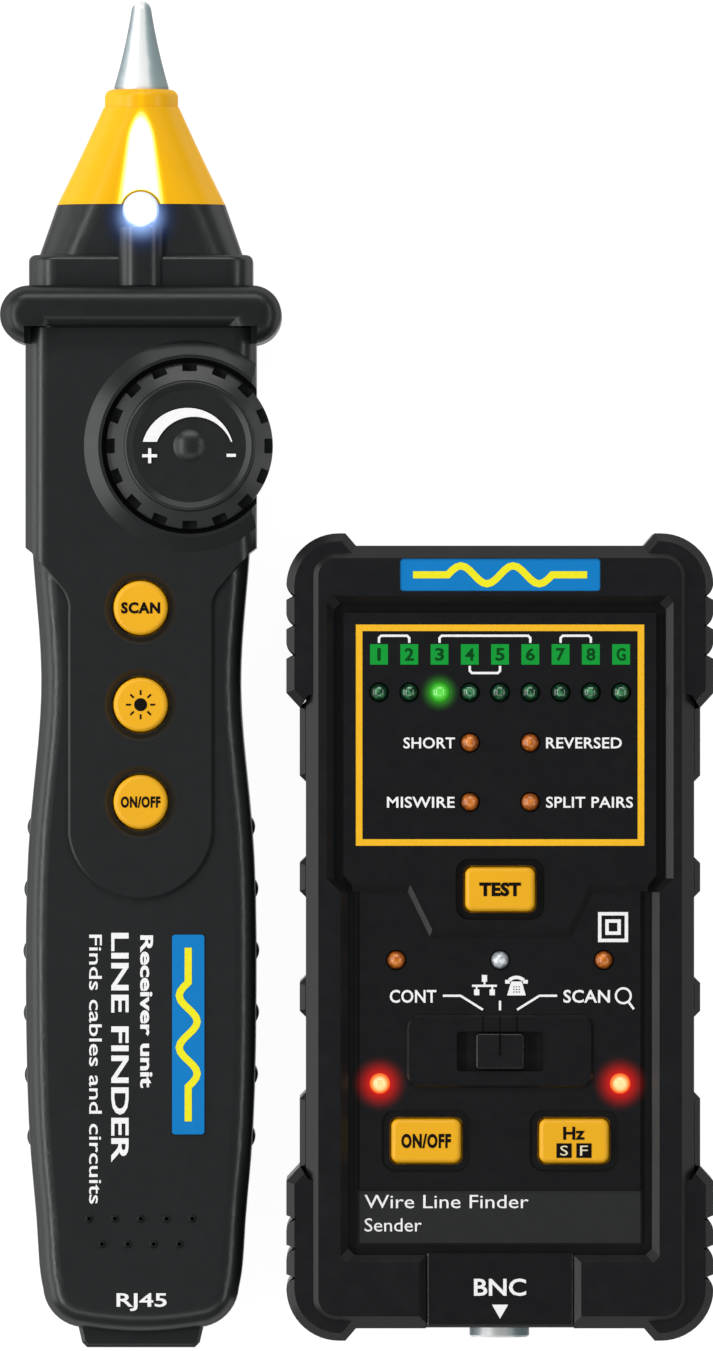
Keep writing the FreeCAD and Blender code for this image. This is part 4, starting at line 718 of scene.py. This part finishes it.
def numbered_row():
    """Green squares with dark numbers over the lamp row, and the white pair brackets."""
    squares = Print("number_squares", "transmitter", "led_green", GREEN)
    digits = Print("number_digits", "transmitter", "led_green", DARK_GREEN)
    brackets = Print("pair_brackets", "transmitter", "lamp_white", WHITE)
    for spot, text in zip(NUMBERED, "12345678G"):
        centre = shifted(spot, 0, 6.1)
        squares.block(centre, 2.87 * MM, 3.3 * MM, PANEL_Z)
        width = 0.55 if text == "1" else 1.45
        digits.words(text, centre, width * MM, 2.05 * MM, PANEL_Z + INK, weight=0.025)
    above, below = (7.95, 9.1), (4.25, 3.1)
    for first, last, (foot, bar) in ((0, 1, above), (2, 5, above), (6, 7, above), (3, 4, below)):
        start, end = NUMBERED[first], NUMBERED[last]
        lean = 0.35 if bar > foot else -0.35
        brackets.stroke([shifted(start, 0, foot), shifted(start, 0, bar - lean), shifted(start, 0.35, bar),
                         shifted(end, -0.35, bar), shifted(end, 0, bar - lean), shifted(end, 0, foot)],
                        0.38 * MM, PANEL_Z)
    for marks in (squares, digits, brackets):
        marks.finish()


def panel_print():
    """Yellow frame and the names of the fault lamps on the raised panel."""
    border = Print("panel_border", "transmitter", "button_yellow", GOLD)
    half = 23.2 * MM
    low, high = TX_Y + 79.7 * MM, TX_Y + 115.3 * MM
    border.outline(TX_X - half, TX_X + half, low, high, 1.05 * MM, PANEL_Z)
    border.finish()
    marks = Print("panel_words", "transmitter", "lamp_white", WHITE)
    for text, x, y, width in (("SHORT", -11.4, 96.25, 8.3), ("REVERSED", 13.5, 96.25, 12.2),
                              ("MISWIRE", -12.75, 86.7, 10.9), ("SPLIT PAIRS", 14.4, 86.7, 14.0)):
        marks.words(text, tx(x, y), width * MM, 1.8 * MM, PANEL_Z, weight=0.015, spacing=1.04)
    marks.finish()


def magnifier(marks, centre):
    """Ring with a handle that leans down to the right."""
    marks.ring(centre, 1.2 * MM, 0.35 * MM, CASE_Z)
    marks.bar(on_circle(centre, 1.35 * MM, -50), on_circle(centre, 2.75 * MM, -52), LEADER, CASE_Z)


def network_symbol(marks, centre):
    """One box above a level line, and two below it."""
    marks.block(shifted(centre, 0, 1.2), 0.85 * MM, 1.1 * MM, CASE_Z)
    marks.block(centre, 4.0 * MM, 0.36 * MM, CASE_Z)
    marks.block(shifted(centre, 0, 0.35), 0.3 * MM, 0.7 * MM, CASE_Z + INK)
    for x in (-1.25, 1.25):
        marks.block(shifted(centre, x, -0.4), 0.3 * MM, 0.6 * MM, CASE_Z + INK)
        marks.block(shifted(centre, x, -1.05), 0.85 * MM, 0.95 * MM, CASE_Z)


def telephone(marks, centre):
    """Desk telephone: sloped foot, arched handset and its two ends."""
    foot = ((-1.5, -1.5), (1.5, -1.5), (0.85, 0.75), (-0.85, 0.75))
    marks.polygon([shifted(centre, x, y) for x, y in foot], CASE_Z)
    marks.ring(shifted(centre, 0, -0.35), 1.75 * MM, 0.55 * MM, CASE_Z, 48, 132, 10)
    for x in (-1.45, 1.45):
        marks.block(shifted(centre, x, 0.7), 0.75 * MM, 0.6 * MM, CASE_Z)


def telephone_keys(centre):
    """Nine dark keys on the telephone's foot."""
    pitch, side = 0.42, 0.18 * MM
    keys = Print("phone_keys", "transmitter", "panel_black", BLACK)
    for i in range(3):
        for j in range(3):
            keys.block(shifted(centre, (i - 1) * pitch, -0.95 + j * pitch), side, side, CASE_Z + INK)
    keys.finish()


def double_square(marks, centre):
    """One square inside another, the sign for double insulation."""
    x, y = centre
    for half in (2.42 * MM, 1.25 * MM):
        marks.outline(x - half, x + half, y - half, y + half, 0.55 * MM, CASE_Z)


def mode_print():
    """Mode names, leader lines and symbols above the slide switch."""
    marks = Print("mode_print", "transmitter", "lamp_white", WHITE)
    phone = tx(2.65, 57.1)
    marks.words("CONT", tx(-14.0, 55.45), 7.5 * MM, 2.1 * MM, CASE_Z, weight=0.018, spacing=1.04)
    marks.words("SCAN", tx(13.95, 55.45), 7.5 * MM, 2.1 * MM, CASE_Z, weight=0.018, spacing=1.04)
    for side in (-1, 1):
        path = ((9.2, 55.55), (6.35, 55.55), (2.75, 53.3))
        marks.stroke([tx(side * x, y) for x, y in path], LEADER, CASE_Z)
    marks.bar(tx(0, 54.75), tx(0, 53.2), LEADER, CASE_Z)
    magnifier(marks, tx(19.85, 55.55))
    network_symbol(marks, tx(-2.5, 57.15))
    telephone(marks, phone)
    double_square(marks, tx(18.2, 66.6))
    marks.finish()
    telephone_keys(phone)


def name_strip():
    """Glossy name strip in its shallow recess across the lower panel, with two lines of plain lettering."""
    z = STRIP_Z
    surface = plastic("strip_black", (0.021, 0.0215, 0.0215), 0.3)
    strip = Print("name_strip", "transmitter", "panel_black", surface)
    left, right = TX_X - 22.6 * MM, TX_X + 22.6 * MM
    low, high = TX_Y + 15.75 * MM, TX_Y + 24.15 * MM
    strip.polygon([(left, low), (right, low), (right, high), (left, high)], z)
    strip.finish()
    marks = Print("name_strip_words", "transmitter", "lamp_white", WHITE)
    marks.words("Wire Line Finder", tx(-8.6, 22.4), 26.4 * MM, 2.15 * MM, z + INK)
    marks.words("Sender", tx(-17.2, 18.65), 9.2 * MM, 2.15 * MM, z + INK)
    marks.finish()


def socket_print():
    """The lower socket's name on the hood, with a triangle that points at it."""
    marks = Print("bnc_print", "transmitter", "lamp_white", WHITE)
    marks.words("BNC", tx(0.0, 8.65), 8.4 * MM, 2.8 * MM, HOOD_Z, weight=0.018)
    marks.polygon([tx(-1.3, 5.85), tx(0, 3.6), tx(1.3, 5.85)], HOOD_Z)
    marks.finish()


# ---------------------------------------------------------------- surroundings
def floor():
    """Wide white floor just below the set, bright enough by itself to read as a plain pale ground."""
    size = 4.0
    mesh = bpy.data.meshes.new("floor")
    corners = [(-size, -size, 0), (size, -size, 0), (size, size, 0), (-size, size, 0)]
    mesh.from_pydata(corners, [], [(0, 1, 2, 3)])
    ground = bpy.data.objects.new("floor", mesh)
    ground.location.z = cad_box[0][2] - 0.2 * MM
    bpy.context.scene.collection.objects.link(ground)
    s = Shader("floor_white")
    s.link(s.ramp(s.noise(0.3, 2.0), [(0.3, (0.15, 0.15, 0.15)), (0.7, (0.17, 0.17, 0.17))]), "Base Color")
    s.set(Roughness=0.9, Specular_IOR_Level=0.1, Emission_Color=(1, 1, 1, 1), Emission_Strength=0.955)
    mesh.materials.append(s.material)


def strip_light(name, turn, tilt, length, width, radiance):
    """Long soft box aimed at the set: turn is its bearing from +X, tilt its angle from straight above."""
    away = 1.0
    light = bpy.data.lights.new(name, "AREA")
    light.shape = "RECTANGLE"
    light.size, light.size_y = length, width
    light.energy = radiance * math.pi * length * width
    lamp = bpy.data.objects.new(name, light)
    lean, bearing = math.radians(tilt), math.radians(turn)
    outward = Vector((math.sin(lean) * math.cos(bearing), math.sin(lean) * math.sin(bearing), math.cos(lean)))
    along = Vector((-math.sin(bearing), math.cos(bearing), 0))
    across = outward.cross(along)
    facing = Matrix((along, across, outward)).transposed().to_4x4()
    lamp.matrix_world = Matrix.Translation(outward * away) @ facing
    bpy.context.scene.collection.objects.link(lamp)


def lights():
    """Strips along both sides and the two ends, with nothing bright straight above the set."""
    world = bpy.data.worlds.new("studio")
    world.use_nodes = True
    world.node_tree.nodes["Background"].inputs["Color"].default_value = (0.92, 0.96, 1.0, 1)
    world.node_tree.nodes["Background"].inputs["Strength"].default_value = 0.135
    bpy.context.scene.world = world
    strip_light("strip_left", 180, 38, 1.2, 0.16, 9.0)
    strip_light("wall_left", 180, 66, 1.2, 0.30, 3.2)
    strip_light("low_left", 180, 81, 1.2, 0.22, 2.2)
    strip_light("strip_right", 0, 50, 1.2, 0.08, 9.0)
    strip_light("strip_far", 90, 56, 0.9, 0.2, 7.5)
    strip_light("strip_near", 270, 40, 0.9, 0.2, 2.5)


def camera():
    """Straight above the set, looking down, with the set filling the frame."""
    low, high = cad_box
    tall = high[1] - low[1]
    focus_z = 0.72 * high[2]
    away = 3.0
    margin = 1.0018
    nudge = 0.3 * MM
    data = bpy.data.cameras.new("camera")
    data.sensor_fit = "VERTICAL"
    data.sensor_height = 36.0
    data.lens = data.sensor_height * away / (tall * margin)
    data.clip_end = 10
    eye = bpy.data.objects.new("camera", data)
    eye.location = ((low[0] + high[0]) / 2, (low[1] + high[1]) / 2 - nudge, focus_z + away)
    bpy.context.scene.collection.objects.link(eye)
    bpy.context.scene.camera = eye
    bpy.context.scene.view_settings.view_transform = "Standard"


dress_nodes()
key_marks()
knob_marks()
badge_marks()
receiver_print()
numbered_row()
panel_print()
mode_print()
name_strip()
socket_print()
floor()
lights()
camera()
